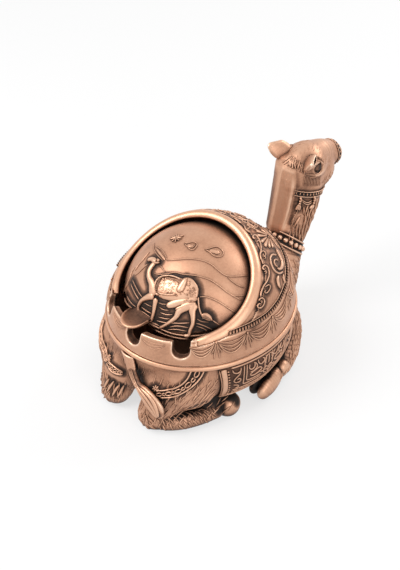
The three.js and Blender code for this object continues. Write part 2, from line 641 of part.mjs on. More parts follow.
// Relief on the lid: a standing camel on a strip of broken ground.  Each part is a flat ribbon
// through points on the cap: angle up, angle to the right and half width in millimetres.
const RELIEF_TOP = 42.5;
const RELIEF_FOOT = LID_RADIUS + 0.36;
const RELIEF_MIDDLE = (RELIEF_FOOT + RELIEF_TOP) / 2;
const RELIEF_HALF = (RELIEF_TOP - RELIEF_FOOT) / 2;
function ribbon(points, steps) {
  const curve = new THREE.CatmullRomCurve3(points.map((p) => new THREE.Vector3(...p)));
  const ends = [[0, -0.7, 0.6]];
  const stations = ends.concat(Array.from({ length: steps + 1 }, (_, i) => [i / steps, 0, 1]))
    .concat([[1, 0.7, 0.6]]);
  return solid(loft(stations.map(([t, push, shrink]) => {
    const at = curve.getPoint(t);
    const seat = vec(lidPoint(at.x, at.y, RELIEF_MIDDLE));
    const ahead = curve.getPoint(t).addScaledVector(curve.getTangent(t), 0.2);
    const along = vec(lidPoint(ahead.x, ahead.y, RELIEF_MIDDLE)).sub(seat).normalize();
    seat.addScaledVector(along, push * at.z).setLength(RELIEF_MIDDLE);
    const out = seat.clone().normalize();
    const across = along.cross(out).normalize();
    return [[0.8, 0.95], [-0.8, 0.95], [-1, -0.95], [1, -0.95]].map(([a, b]) => {
      const p = seat.clone().addScaledVector(across, a * at.z * shrink);
      p.setLength(RELIEF_MIDDLE + b * RELIEF_HALF);
      return [p.x, p.y, p.z];
    });
  })));
}
const RELIEF_PARTS = [
  [[40, -1, 3], [44, 6, 3.6], [48, 15, 3.6], [50, 23, 2.6]],
  [[47, 6, 2.6], [51.5, 10, 2.8], [50.5, 14, 2.4]],
  [[38, -3, 2.4], [43, -8.6, 1.7], [50, -10.6, 1.5], [56.5, -12.6, 1.5]],
  [[57.5, -12, 1.8], [52.5, -15.4, 1.2]],
  [[38, -3.5, 1.9], [28, -9.1, 1.1], [19.8, -7.2, 1]],
  [[38, 1.7, 1.9], [27.4, 4.5, 1.2], [19.8, 4.9, 1]],
  [[44, 19, 2.2], [33.1, 19.4, 1.3], [20.4, 12.7, 1]],
  [[48, 24, 2.2], [39.7, 29, 1.3], [30.7, 30, 1.1], [21.5, 28.8, 1]],
  [[50.5, 25, 0.9], [42, 31.5, 0.8], [37, 37.5, 1.3]],
];
const GROUND_LINE = [-32, -21, -10, 0, 10, 21, 32].map((right) => {
  const edge = Math.acos(LID_EDGE / LID_RADIUS / Math.cos(rad(right)));
  return [THREE.MathUtils.radToDeg(Math.atan2(LID_AXIS.z, -LID_AXIS.y) - edge) + 6, right, 1.5];
});
let reliefSolid = ribbon(GROUND_LINE, 14);
for (const part of RELIEF_PARTS) reliefSolid = reliefSolid.add(ribbon(part, 4));

// Colours: brushed copper that has been darkened, paler where hands and cloths have worn it.
const COPPER = { colour: 0xc98a66, rough: 0.38, metal: 0.9 };
const COPPER_PALE = { colour: 0xe0a583, rough: 0.32, metal: 0.9 };
const COPPER_DARK = { colour: 0x8a5a42, rough: 0.5, metal: 0.85 };
const STEEL = { colour: 0xb5b2ac, rough: 0.35, metal: 1 };
const group = new THREE.Group();
group.position.set(0, CENTRE_SHIFT, SEAM_HEIGHT);
function place(name, body, look) {
  const material = new THREE.MeshStandardMaterial({ color: look.colour, roughness: look.rough,
    metalness: look.metal });
  const mesh = new THREE.Mesh(geometryOf(body), material);
  mesh.name = name;
  group.add(mesh);
}

place('bowl_body', bowl, COPPER);
place('rim_ring', rim, COPPER_PALE);
place('neck', neck, COPPER);
place('head', head, COPPER);
place('necklace', necklace, COPPER_DARK);
place('halter_band', halter, COPPER);
place('nose_band', noseband, COPPER);
place('tail', tail, COPPER);
place('neck_screw', neckScrew, STEEL);
for (const name of Object.keys(sides)) {
  place(`ear_${name}`, ears[name], COPPER);
  place(`hind_leg_${name}`, legs[`hind_${name}`], COPPER);
  place(`front_leg_${name}`, legs[`front_${name}`], COPPER);
  place(`saddle_panel_${name}`, panels[name], COPPER_DARK);
}
place('cover_shell', dome, COPPER);
place('drapery_band', drapery, COPPER);
place('opening_bezel', bezel, COPPER_PALE);
place('rope_border', rope, COPPER_DARK);
place('seat_lip', lip, COPPER);
for (const [name, s] of Object.entries(sides)) {
  place(`pivot_boss_${name}`, boss(s), COPPER);
  place(`pivot_screw_${name}`, pivotScrew(s), STEEL);
  place(`pivot_washer_${name}`, pivotWasher(s), STEEL);
  place(`lid_arm_${name}`, lidArm(s), COPPER);
}
place('lid_cap', lidCap, COPPER);
place('lid_tab', tab, COPPER_PALE);
place('lid_relief', reliefSolid, COPPER_PALE);

export default group;
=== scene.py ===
import math
from functools import partial
import bpy
import numpy as np
from mathutils import Matrix, Vector
from mathutils.kdtree import KDTree


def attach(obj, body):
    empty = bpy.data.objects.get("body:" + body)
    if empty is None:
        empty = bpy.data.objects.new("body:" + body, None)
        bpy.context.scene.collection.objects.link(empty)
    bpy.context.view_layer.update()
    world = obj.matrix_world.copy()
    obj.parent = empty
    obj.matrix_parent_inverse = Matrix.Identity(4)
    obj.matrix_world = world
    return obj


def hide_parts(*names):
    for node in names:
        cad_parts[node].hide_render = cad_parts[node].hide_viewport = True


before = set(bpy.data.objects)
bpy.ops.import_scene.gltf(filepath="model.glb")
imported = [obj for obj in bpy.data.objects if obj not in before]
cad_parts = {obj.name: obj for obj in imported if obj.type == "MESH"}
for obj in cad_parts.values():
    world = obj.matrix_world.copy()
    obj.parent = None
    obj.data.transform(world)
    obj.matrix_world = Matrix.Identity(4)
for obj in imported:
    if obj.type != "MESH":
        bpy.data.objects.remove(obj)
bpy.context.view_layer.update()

# Shapes are worked out in millimetres about the middle of the bowl: height 0 is the seam, -Y is
# the camel's rear with the opening, +X its right flank.  OFFSET takes them to the row frame.
OFFSET, METRES = np.array([0.0, -27.07, 42.0]), 0.001
TAU = math.tau
MIRROR = np.array([-1, 1, 1])

# Camera as in the photograph
PHOTO = (400, 570)
CAM_AZ, CAM_EL, CAM_DISTANCE, FOCAL_PX = 42.0, 39.6, 500.0, 980.0
CAM_TARGET = np.array([-1.3, 0.0, 9.4])
_az, _el = math.radians(CAM_AZ), math.radians(CAM_EL)
CAM_BACK = np.array([math.sin(_az) * math.cos(_el), -math.cos(_az) * math.cos(_el), math.sin(_el)])
CAM_RIGHT = np.array([math.cos(_az), math.sin(_az), 0.0])
CAM_UP = np.cross(CAM_BACK, CAM_RIGHT)
CAM_AT = CAM_TARGET + CAM_DISTANCE * CAM_BACK
RAY_START, RAY_STEPS, RAY_STRIDE = CAM_DISTANCE - 130.0, 90, 0.55


# Fields: shapes as functions
def blend(a, b, k):
    """Smooth union of two fields over a width of k millimetres."""
    h = np.clip(0.5 + 0.5 * (b - a) / k, 0, 1)
    return b * (1 - h) + a * h - k * h * (1 - h)


def both(a, b, k=0.01):
    """Smooth intersection."""
    return -blend(-a, -b, k)


def cut(a, b, k=0.01):
    """Smooth cut of b from a."""
    return -blend(-a, b, k)


def lump(p, centre, half):
    """Field of an ellipsoid."""
    q = (p - np.asarray(centre)) / np.asarray(half)
    k = np.sqrt((q * q).sum(-1)) + 1e-6
    g = np.sqrt(((q / np.asarray(half)) ** 2).sum(-1)) + 1e-6
    return k * (k - 1) / g


def clay(p, lumps, start=None):
    """Lumps (centre, half sizes, blend width) laid one after another on a start."""
    for centre, half, soft in lumps:
        f = lump(p, centre, half)
        start = f if start is None else blend(start, f, soft)
    return start


def spline(points, count):
    """Even points on a smooth line through the given rows of numbers."""
    p = np.asarray(points, float)
    if len(p) == 2:
        t = np.linspace(0, 1, count)[:, None]
        return p[0] * (1 - t) + p[1] * t
    q = np.vstack([2 * p[0] - p[1], p, 2 * p[-1] - p[-2]])
    fine = []
    for i in range(len(p) - 1):
        t = np.linspace(0, 1, 12, endpoint=False)[:, None]
        a, b, c, d = q[i], q[i + 1], q[i + 2], q[i + 3]
        fine.append(0.5 * (2 * b + (c - a) * t + (2 * a - 5 * b + 4 * c - d) * t ** 2
                           + (3 * b - a - 3 * c + d) * t ** 3))
    fine = np.vstack(fine + [p[-1:]])
    reach = np.concatenate([[0], np.cumsum(np.linalg.norm(np.diff(fine[:, :3], axis=0), axis=1))])
    want = np.linspace(0, reach[-1], count)
    return np.stack([np.interp(want, reach, fine[:, j]) for j in range(p.shape[1])], 1)


def limb(stations, count=14, side=(1, 0, 0)):
    """Field of a limb through (x, y, z, half width along side, half thickness) stations."""
    s = spline(stations, count)
    side = np.asarray(side, float)

    def field(p):
        best = np.full(len(p), 1e9)
        for a, b in zip(s[:-1], s[1:]):
            d = b[:3] - a[:3]
            t = np.clip(((p - a[:3]) @ d) / (d @ d), 0, 1)
            off = p - (a[:3] + t[:, None] * d)
            wide = a[3] + t * (b[3] - a[3])
            high = a[4] + t * (b[4] - a[4])
            across = off @ side
            rest = (off * off).sum(-1) - across ** 2
            q = np.sqrt((across / wide) ** 2 + np.maximum(rest, 0) / high ** 2)
            best = np.minimum(best, (q - 1) * np.minimum(wide, high))
        return best
    return field


def slope_of(field, p, e=0.05):
    """Gradient of a field."""
    g = np.empty((len(p), 3))
    for i in range(3):
        step = np.zeros(3)
        step[i] = e
        g[:, i] = (field(p + step) - field(p - step)) / (2 * e)
    return g


def drop(field, p, rounds=4, most=2.0):
    """Moves points onto the field's surface."""
    p = np.array(p, float)
    for i in range(rounds):
        if i < 2:
            g = slope_of(field, p)
            g /= (g * g).sum(-1, keepdims=True) + 1e-9
        move = field(p)[:, None] * g
        length = np.linalg.norm(move, axis=1, keepdims=True) + 1e-9
        p -= move * np.minimum(1, most / length)
    return p


def facing(field, p):
    """Unit normals of a field."""
    g = slope_of(field, p)
    return g / (np.linalg.norm(g, axis=1, keepdims=True) + 1e-9)


def seen_at(field, pixels):
    """Points of a surface that the photograph shows at these pixels."""
    px = np.asarray(pixels, float)
    d = (-CAM_BACK + CAM_RIGHT * ((px[:, :1] - PHOTO[0] / 2) / FOCAL_PX)
         - CAM_UP * ((px[:, 1:2] - PHOTO[1] / 2) / FOCAL_PX))
    d /= np.linalg.norm(d, axis=1, keepdims=True)
    t = np.full(len(px), RAY_START)
    nearest, best = np.full(len(px), 1e9), t.copy()
    for _ in range(RAY_STEPS):
        away = field(CAM_AT + t[:, None] * d)
        closer = np.abs(away) < nearest
        nearest[closer], best[closer] = np.abs(away)[closer], t[closer]
        t += RAY_STRIDE * away
    return drop(field, CAM_AT + best[:, None] * d, 4, 3.0)


BLOCK, BLOCK_REACH = 8, 0.87 * 1.9


def sampled(field, low, size, step):
    """Field values on a grid, worked out only in the blocks that the surface may cross."""
    block = np.stack(np.meshgrid(*[np.arange(n) for n in size], indexing="ij"), -1).reshape(-1, 3)
    rough = field((block * BLOCK + BLOCK // 2) * step + low)
    crossed = (np.abs(rough) < BLOCK * step * BLOCK_REACH).reshape(tuple(size))
    value = np.ones(tuple(size * BLOCK + 1), np.float32)
    sign = np.where(rough < 0, -1.0, 1.0).reshape(tuple(size))
    value[:-1, :-1, :-1] = np.repeat(np.repeat(np.repeat(sign, BLOCK, 0), BLOCK, 1), BLOCK, 2)
    corner = np.argwhere(crossed) * BLOCK
    local = np.stack(np.meshgrid(*[np.arange(BLOCK + 1)] * 3, indexing="ij"), -1).reshape(-1, 3)
    for part in np.array_split(corner, max(1, len(corner) // 300)):
        at = (part[:, None, :] + local[None]).reshape(-1, 3)
        value[tuple(at.T)] = field(at * step + low)
    return value


def crossings(value, cells):
    """Mean place, in grid steps, where the surface crosses the edges of each cell."""
    total, hits = np.zeros((len(cells), 3)), np.zeros(len(cells))
    e = np.eye(3, dtype=int)
    for axis in range(3):
        first, second = [k for k in range(3) if k != axis]
        for i in (0, 1):
            for j in (0, 1):
                a = cells + i * e[first] + j * e[second]
                va, vb = value[tuple(a.T)], value[tuple((a + e[axis]).T)]
                hit = (va < 0) != (vb < 0)
                t = np.where(hit, va / np.where(va == vb, 1, va - vb), 0)
                total[hit] += (a + t[:, None] * e[axis])[hit]
                hits[hit] += 1
    return total / hits[:, None]


def walls(inside, index):
    """A quad across each grid edge that the surface crosses, facing outward."""
    faces, e = [], np.eye(3, dtype=int)
    for axis in range(3):
        flips = np.argwhere(np.diff(inside, axis=axis))
        sides = [k for k in range(3) if k != axis]
        last = np.array(inside.shape)[sides] - 1
        flips = flips[((flips[:, sides] > 0) & (flips[:, sides] < last)).all(1)]
        one, other = e[sides[0]], e[sides[1]]
        ring = [flips, flips - one, flips - one - other, flips - other]
        quad = np.stack([index[tuple(r.T)] for r in ring], 1)
        out = inside[tuple(flips.T)] ^ (axis == 1)
        quad[~out] = quad[~out][:, ::-1]
        faces.append(quad)
    return np.vstack(faces)


def skin(field, low, high, step):
    """Closed quad skin where the field is zero: points and faces."""
    low = np.asarray(low, float)
    size = np.ceil((np.asarray(high, float) - low) / (BLOCK * step)).astype(int)
    value = sampled(field, low, size, step)
    inside = value < 0
    nx, ny, nz = np.array(value.shape) - 1
    count = sum(inside[i:nx + i, j:ny + j, k:nz + k].astype(np.int8)
                for i in (0, 1) for j in (0, 1) for k in (0, 1))
    active = (count > 0) & (count < 8)
    index = np.full(active.shape, -1)
    index[active] = np.arange(active.sum())
    points = low + step * crossings(value, np.argwhere(active))
    return drop(field, points, 3, 0.5 * step), walls(inside, index)


# Meshes
def relax(points, pairs, rounds):
    """Averages each point with its neighbours, some rounds."""
    n = len(points)
    a, b = np.concatenate([pairs[:, 0], pairs[:, 1]]), np.concatenate([pairs[:, 1], pairs[:, 0]])
    share = np.maximum(np.bincount(a, minlength=n), 1)
    p = points
    for _ in range(rounds):
        p = 0.5 * p + 0.5 * np.stack([np.bincount(a, p[b, i], n) / share for i in range(3)], 1)
    return p


def edges_of(faces):
    """Each edge once, as pairs of point numbers."""
    pairs = np.vstack([faces[:, [i, (i + 1) % faces.shape[1]]] for i in range(faces.shape[1])])
    pairs.sort(1)
    return np.unique(pairs, axis=0)


def normals_of(points, faces):
    """Unit normals at the points of a mesh."""
    n = np.zeros_like(points)
    cross = np.cross(points[faces[:, 2]] - points[faces[:, 0]],
                     points[faces[:, -1]] - points[faces[:, 1]])
    for i in range(faces.shape[1]):
        for k in range(3):
            n[:, k] += np.bincount(faces[:, i], cross[:, k], len(points))
    return n / (np.linalg.norm(n, axis=1, keepdims=True) + 1e-12)


def relief_of(points, faces, scales=((2, 0.05, 0.5), (10, 0.25, 0.5))):
    """How far each point stands out of its surroundings, 0 deep, 0.5 level, 1 proud."""
    pairs = edges_of(faces)
    normal = normals_of(points, faces)
    level = np.zeros(len(points))
    for rounds, full, share in scales:
        soft = relax(points, pairs, rounds)
        level += share * np.clip(((points - soft) * normal).sum(1) / full, -1, 1)
    return np.clip(0.5 + 0.5 * level, 0, 1)


def piece(name, points, faces, look, body, replaces=(), wear=0.5, patina_and_shade=0.0):
    """A Blender object from points in millimetres, riding on a body; wear and darkening mark its points, the
    darkening partly patina and partly painted shade.
    """
    mesh = bpy.data.meshes.new(name)
    world = (np.asarray(points) + OFFSET) * METRES
    count, corners = faces.shape
    mesh.vertices.add(len(world))
    mesh.vertices.foreach_set("co", world.astype(np.float32).ravel())
    mesh.loops.add(count * corners)
    mesh.loops.foreach_set("vertex_index", faces.astype(np.int32).ravel())
    mesh.polygons.add(count)
    mesh.polygons.foreach_set("loop_start", np.arange(0, count * corners, corners, dtype=np.int32))
    mesh.polygons.foreach_set("loop_total", np.full(count, corners, np.int32))
    mesh.update(calc_edges=True)
    mesh.validate()
    mesh.polygons.foreach_set("use_smooth", np.ones(len(mesh.polygons), bool))
    # The second mark darkens the colour: patina beside relief, and painted shade in clefts and gaps.
    for key, level in (("wear", wear), ("patina_and_shade", patina_and_shade)):
        data = np.zeros(len(world), np.float32) + np.asarray(level, np.float32)
        mesh.attributes.new(key, "FLOAT", "POINT").data.foreach_set("value", data)
    o = bpy.data.objects.new(name, mesh)
    bpy.context.scene.collection.objects.link(o)
    mesh.materials.append(look)
    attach(o, body)
    if replaces:
        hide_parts(*replaces)


def loft(rings, closed=False):
    """Quads through rows of equal rings (rows, count, 3); open rows get flat end fans."""
    rings = np.asarray(rings, float)
    rows, count = rings.shape[:2]
    points = rings.reshape(-1, 3)
    i = np.arange(rows if closed else rows - 1)[:, None]
    j = np.arange(count)[None]
    a, b = i * count + j, i * count + (j + 1) % count
    c, d = (i + 1) % rows * count + (j + 1) % count, (i + 1) % rows * count + j
    quads = np.stack([a, b, c, d], -1).reshape(-1, 4)
    if not closed:
        ends = []
        for row, turn in ((0, -1), (rows - 1, 1)):
            centre = len(points)
            points = np.vstack([points, rings[row].mean(0)[None]])
            k = np.arange(0, count, 2)
            base = row * count
            fan = np.stack([np.full(len(k), centre), base + k, base + (k + 1) % count,
                            base + (k + 2) % count], -1)
            ends.append(fan[:, ::turn])
        quads = np.vstack([quads] + ends)
    return points, quads


def joined(parts):
    """Several (points, faces) as one."""
    points, faces, n = [], [], 0
    for p, f in parts:
        points.append(p)
        faces.append(f + n)
        n += len(p)
    return np.vstack(points), np.vstack(faces)

def flipped(part):
    """The same with its faces turned over."""
    p, f = part
    return p, f[:, ::-1]


def mirrored(part):
    """The same on the other flank."""
    p, f = part
    return p * MIRROR, f[:, ::-1]


def both_flanks(parts):
    """Several parts as one, and their mirror image."""
    one = joined(parts)
    return joined([one, mirrored(one)])


# Sections of a raised stroke: across, and height (below nought is sunk into the surface)
THIN = np.array([[-1, -1], [-0.8, 0.4], [-0.3, 1], [0.3, 1], [0.8, 0.4], [1, -1]], float)
FULL = np.array([[-1, -1], [-0.96, 0.3], [-0.8, 0.62], [-0.5, 0.88], [-0.17, 1], [0.17, 1], [0.5, 0.88],
                 [0.8, 0.62], [0.96, 0.3], [1, -1]], float)


def strands(lines, normals, wide, high, sink=0.35, section=THIN):
    """Raised tapered strokes on a surface: lines (m, k, 3), half widths and heights (m, k)."""
    m, k = lines.shape[:2]
    n = len(section)
    along = np.gradient(lines, axis=1)
    across = np.cross(along, normals)
    across /= np.linalg.norm(across, axis=2, keepdims=True) + 1e-9
    lift = high[:, :, None] * np.maximum(section[:, 1], 0) - sink * (section[:, 1] < 0)
    pts = (lines[:, :, None] + across[:, :, None] * (wide[:, :, None] * section[:, 0])[..., None]
           + normals[:, :, None] * lift[..., None])
    points = pts.reshape(-1, 3)
    base = (np.arange(m) * k * n)[:, None, None]
    i = np.arange(k - 1)[None, :, None] * n
    j = np.arange(n)[None, None]
    a, b = base + i + j, base + i + (j + 1) % n
    quads = [np.stack([a, b, b + n, a + n], -1).reshape(-1, 4)]
    start = np.arange(m)[:, None] * k * n
    last = start + (k - 1) * n
    for q in range(n // 2 - 1):
        cap = np.array([q, q + 1, n - 2 - q, n - 1 - q])
        quads += [start + cap[::-1], last + cap]
    return points, np.vstack(quads)


STROKE_STEP = 0.4


def stroke(field, line, wide, high, sink=0.35, taper=(1, 1), section=None, lift=0.0):
    """One raised stroke on a surface; wide and high are numbers, or rows of them along it."""
    line = np.asarray(line, float)
    length = np.linalg.norm(np.diff(line, axis=0), axis=1).sum()
    count = int(np.clip(length / STROKE_STEP, 6, 120))
    p = drop(field, spline(line, count), 3, 1.0)
    n = facing(field, p)
    s = np.linspace(0, 1, count)

    def along(v):
        return np.interp(s, np.linspace(0, 1, np.size(v)), np.atleast_1d(v))

    fade = np.sqrt(np.clip(np.minimum(s * length / taper[0], (1 - s) * length / taper[1]), 0.02, 1))
    if section is None:
        section = FULL if np.max(wide) > 0.9 else THIN
    return strands((p + n * lift)[None], n[None], (along(wide) * fade)[None],
                   (along(high) * np.sqrt(fade))[None], sink + lift, section)


def enlarged(area, pixels):
    """Pixels of the photograph for points of an enlarged area."""
    return np.asarray(pixels, float) / area[2] + area[:2]


def traced(field, area, line, *args, **more):
    """A stroke that follows a line seen in an enlarged area of the photograph."""
    return stroke(field, seen_at(field, enlarged(area, line)), *args, **more)


def globe(rows, sides, margin):
    """Unit ball as rings of points."""
    polar = (np.linspace(margin, 1 - margin, rows) * math.pi)[:, None]
    turn = np.arange(sides) / sides * TAU
    return np.stack([np.sin(polar) * np.cos(turn), np.sin(polar) * np.sin(turn),
                     np.cos(polar) * np.ones(sides)], -1)


def beads(field, centres, radii, along=(0.3, 0.4, 1.0), sides=10, sink=0.3):
    """Round lumps on a surface; radii along, across and out."""
    centres = drop(field, centres, 3, 1.0)
    n = facing(field, centres)
    a = along - (along * n).sum(1, keepdims=True) * n
    a /= np.linalg.norm(a, axis=1, keepdims=True) + 1e-9
    unit = globe(7, sides, 0.05)
    parts = []
    for c, u, v, w in zip(centres, a, np.cross(n, a), n):
        ring = (c + w * radii[2] * (1 - 2 * sink) + unit[..., :1] * u * radii[0]
                + unit[..., 1:2] * v * radii[1] + unit[..., 2:] * w * radii[2])
        parts.append(loft(ring))
    return joined(parts)


def balls(centres, radius, sides=12):
    """Plain round beads."""
    unit = globe(9, sides, 0.04)
    return joined([flipped(loft(c + unit * radius)) for c in centres])


def fur(field, seeds, way, length, wide, high, seed, wander=0.2, count=7):
    """Locks of hair over a surface; way is a direction, or a function that gives it."""
    rng = np.random.default_rng(seed)
    p = drop(field, seeds, 3, 2.0)
    reach = length * rng.uniform(0.6, 1.25, len(p))
    lean = rng.normal(0, wander, len(p))
    line, norm = [], []
    for _ in range(count):
        n = facing(field, p)
        d = way(p) if callable(way) else np.tile(np.array(way, float), (len(p), 1))
        d = d - (d * n).sum(1, keepdims=True) * n
        d /= np.linalg.norm(d, axis=1, keepdims=True) + 1e-9
        d = d + np.cross(n, d) * lean[:, None]
        line.append(p)
        norm.append(n)
        p = drop(field, p + d * (reach / count)[:, None], 2, 1.0)
    lines, norms = np.stack(line, 1), np.stack(norm, 1)
    s = np.linspace(0, 1, count)
    shape = np.clip(np.sin(np.pi * np.clip(s * 0.96 + 0.02, 0, 1)) ** 0.8, 0.06, 1)
    size = rng.uniform(0.7, 1.25, (len(p), 1))
    return strands(lines, norms, wide * size * shape, high * size * shape)


NEIGHBOURS = [(i, j, k) for i in (-1, 0, 1) for j in (-1, 0, 1) for k in (-1, 0, 1)]


def scatter(points, mask, gap, seed):
    """Some of the masked points, about a gap apart."""
    rng = np.random.default_rng(seed)
    taken, kept = {}, []
    for i in rng.permutation(np.nonzero(mask)[0]):
        p = points[i]
        x, y, z = np.floor(p / gap).astype(int)
        around = (q for a, b, c in NEIGHBOURS for q in taken.get((x + a, y + b, z + c), ()))
        if not any(((p - q) ** 2).sum() < gap * gap for q in around):
            taken.setdefault((x, y, z), []).append(p)
            kept.append(i)
    return points[kept]


def near(points, marks, reach):
    """1 at the marks, falling to 0 at reach."""
    tree = KDTree(len(marks))
    for i, m in enumerate(marks):
        tree.insert(m, i)
    tree.balance()
    away = np.array([tree.find(p)[2] for p in points])
    return np.clip(1 - away / reach, 0, 1)


# Materials
def node(tree, kind, inputs=(), **values):
    """A shader node; its inputs are numbers, or sockets of other nodes."""
    made = tree.nodes.new(kind)
    for key, value in values.items():
        setattr(made, key, value)
    for key, value in dict(inputs).items():
        if isinstance(value, bpy.types.NodeSocket):
            tree.links.new(value, made.inputs[key])
        else:
            made.inputs[key].default_value = value
    return made


COPPER_RAMP = [(0.0, (0.016, 0.011, 0.009)), (0.16, (0.055, 0.030, 0.021)),
               (0.34, (0.25, 0.122, 0.074)), (0.50, (0.54, 0.285, 0.177)),
               (0.72, (0.73, 0.44, 0.292)), (1.0, (0.87, 0.64, 0.48))]
STEEL_GREYS = (0.03, 0.08, 0.2, 0.38, 0.52, 0.62)
STEEL_RAMP = [(at, (c, c * 0.98, c * 0.95)) for (at, _), c in zip(COPPER_RAMP, STEEL_GREYS)]
# Ambient occlusion darkening of the colour: painted shade in recesses and between parts, over the patina
# there.
RECESS_REACH, RECESS_POWER, RECESS_DARK = 0.009, 1.25, 0.62
BLOTCH_SIZE, BLOTCH_SHARE, GRAIN_SIZE, GRAIN_SHARE = 70, 0.30, 900, 0.14


def metal(name, slot, ramp=COPPER_RAMP, metallic=0.72, tint=(1, 1, 1), rough=0.36, dark=1.0, marked=True):
    """Antique metal: pale where it stands proud, brown to black in its recesses, partly as patina and partly
    as painted shade.
    """
    mat = bpy.data.materials.new(name)
    mat["slot"] = slot
    mat.use_nodes = True
    tree = mat.node_tree
    place = node(tree, "ShaderNodeTexCoord").outputs["Object"]

    def sums(kind, a, b, clamp=False):
        return node(tree, "ShaderNodeMath", {0: a, 1: b}, operation=kind, use_clamp=clamp).outputs[0]

    def noise(scale, detail):
        inputs = {"Vector": place, "Scale": scale, "Detail": detail, "Roughness": 0.55}
        return node(tree, "ShaderNodeTexNoise", inputs).outputs["Fac"]

    def uneven(scale, detail, share):
        return sums("MULTIPLY", sums("SUBTRACT", noise(scale, detail), 0.5), share)

    def marks(key):
        return node(tree, "ShaderNodeAttribute", attribute_name=key).outputs["Fac"]

    # Painted shade: ambient occlusion darkens recesses and the gaps between parts, over the patina there.
    open_air = node(tree, "ShaderNodeAmbientOcclusion", {"Distance": RECESS_REACH}, samples=6).outputs["AO"]
    recess_patina_and_shade = sums("SUBTRACT", 1.0, sums("POWER", open_air, RECESS_POWER))
    grain = uneven(GRAIN_SIZE, 2, GRAIN_SHARE)
    level = sums("ADD", marks("wear") if marked else 0.5, uneven(BLOTCH_SIZE, 4, BLOTCH_SHARE))
    level = sums("SUBTRACT", sums("ADD", level, grain), sums("MULTIPLY", recess_patina_and_shade, RECESS_DARK * dark))
    # Darkening marks: patina beside relief, and painted shade in clefts and gaps.
    level = sums("SUBTRACT", level, marks("patina_and_shade") if marked else 0.0, True)
    colour = node(tree, "ShaderNodeValToRGB", {"Fac": level})
    stops = colour.color_ramp.elements
    while len(stops) < len(ramp):
        stops.new(0.5)
    for stop, (at, paint) in zip(stops, ramp):
        stop.position = at
        stop.color = tuple(c * t for c, t in zip(paint, tint)) + (1,)
    gloss = sums("SUBTRACT", rough + 0.2, sums("MULTIPLY", level, 0.24))
    gloss = sums("ADD", gloss, sums("MULTIPLY", grain, 0.6))
    height = sums("ADD", noise(1400, 2), sums("MULTIPLY", noise(260, 3), 0.8))
    bump = node(tree, "ShaderNodeBump", {"Strength": 0.10, "Distance": 0.0002, "Height": height})
    bsdf = tree.nodes["Principled BSDF"].inputs
    bsdf["Metallic"].default_value = metallic
    for key, socket in (("Base Color", colour.outputs["Color"]), ("Roughness", gloss),
                        ("Normal", bump.outputs["Normal"])):
        tree.links.new(socket, bsdf[key])
    return mat


COPPER = metal("copper_antique", "copper")
PALE = metal("copper_bright", "copper_pale", tint=(1.04, 1.0, 0.97), rough=0.33, dark=0.8)
DARK = metal("copper_deep", "copper_dark", tint=(0.62, 0.55, 0.52), rough=0.5, dark=1.2)
PLAIN = metal("copper_inside", "copper", marked=False)
STEEL = metal("steel_screws", "steel", STEEL_RAMP, 1.0, marked=False)

# Base: bowl and legs
BODY = (46.0, 50.9, 39.5)
WALL, FLAT, FLOOR, GROUND_Z, SEAM = 2.4, -38.6, -35.4, -42.0, 0.15


def body_field(p, grow=0.0):
    """The bowl's round outside; grow makes it larger on all sides."""
    rho = (p[:, 0] / (BODY[0] + grow)) ** 2 + (p[:, 1] / (BODY[1] + grow)) ** 2
    high = np.abs(p[:, 2] / (BODY[2] + grow)) ** 3
    return ((rho ** 1.5 + high) ** (1 / 3) - 1) * (BODY[0] + grow)


def folded(p):
    """Both flanks as one."""
    q = p.copy()
    q[:, 0] = np.abs(q[:, 0])
    return q


hind_cannon = limb([(14.5, -50, -36.9, 5.6, 5.4), (19.6, -48.6, -37.3, 5.0, 5.0),
                    (25.2, -42.8, -37.3, 5.0, 4.9), (29.6, -34.6, -37.3, 5.0, 4.9),
                    (32.6, -26.6, -37.2, 4.8, 4.8)], 12)
fore_leg = limb([(26, 34, -13, 8, 8), (29, 32.5, -21, 9.6, 9.6), (34.2, 28, -30.5, 7.8, 8.0),
                 (37.8, 21.5, -35.4, 5.9, 6.2), (39.3, 15, -35.2, 4.9, 5.4)], 14)
outer_toe = limb([(42.4, 10.6, -33.2, 3.0, 4.4), (43.0, 7.8, -34.0, 3.6, 5.3), (43.3, 3.8, -35.6, 3.7, 5.8),
                  (43.3, 0.4, -36.9, 3.2, 4.9)], 12)
inner_toe = limb([(37.4, 11.6, -33.6, 2.6, 4.2), (37.3, 7.6, -34.8, 3.0, 5.0), (37.4, 3.4, -36.2, 3.1, 5.2),
                  (37.6, 0.2, -37.3, 2.7, 4.4)], 12)
HAUNCH = [((22, -31.5, -13.5), (14.2, 15.8, 15.2), 0), ((21.8, -34.6, -20.6), (13, 13.4, 10.4), 5),
          ((16.4, -43.4, -27.6), (9.4, 10.2, 11), 5), ((11.5, -44.5, -22), (10.6, 9.8, 13), 4),
          ((13, -50.8, -34.6), (7.5, 7.6, 8), 4)]
STIFLE = [((27.5, -25.5, -33.5), (6.5, 8, 7), 1.5)]
HIND_HOOF = [((35.9, -19.0, -37.2), (5.2, 6.4, 6.6), 0), ((33.0, -21.4, -37.6), (4.4, 4.0, 6.2), 2.0)]
FORE_KNEE = [((27, 29.5, -34), (8, 9, 8.5), 4), ((42.6, 15.4, -31.6), (3.6, 4.2, 4.4), 0.4)]


def legs_field(q):
    """Hind leg and fore leg of the right flank."""
    shank_soft = 0.8 + 3.2 * np.clip((23 - q[:, 0]) / 7, 0, 1)
    hind = blend(clay(q, HAUNCH), hind_cannon(q), shank_soft)
    hind = blend(clay(q, STIFLE, hind), clay(q, HIND_HOOF), 0.3)
    fore = clay(q, FORE_KNEE, fore_leg(q))
    return np.minimum(hind, blend(fore, blend(outer_toe(q), inner_toe(q), 0.25), 0.3))


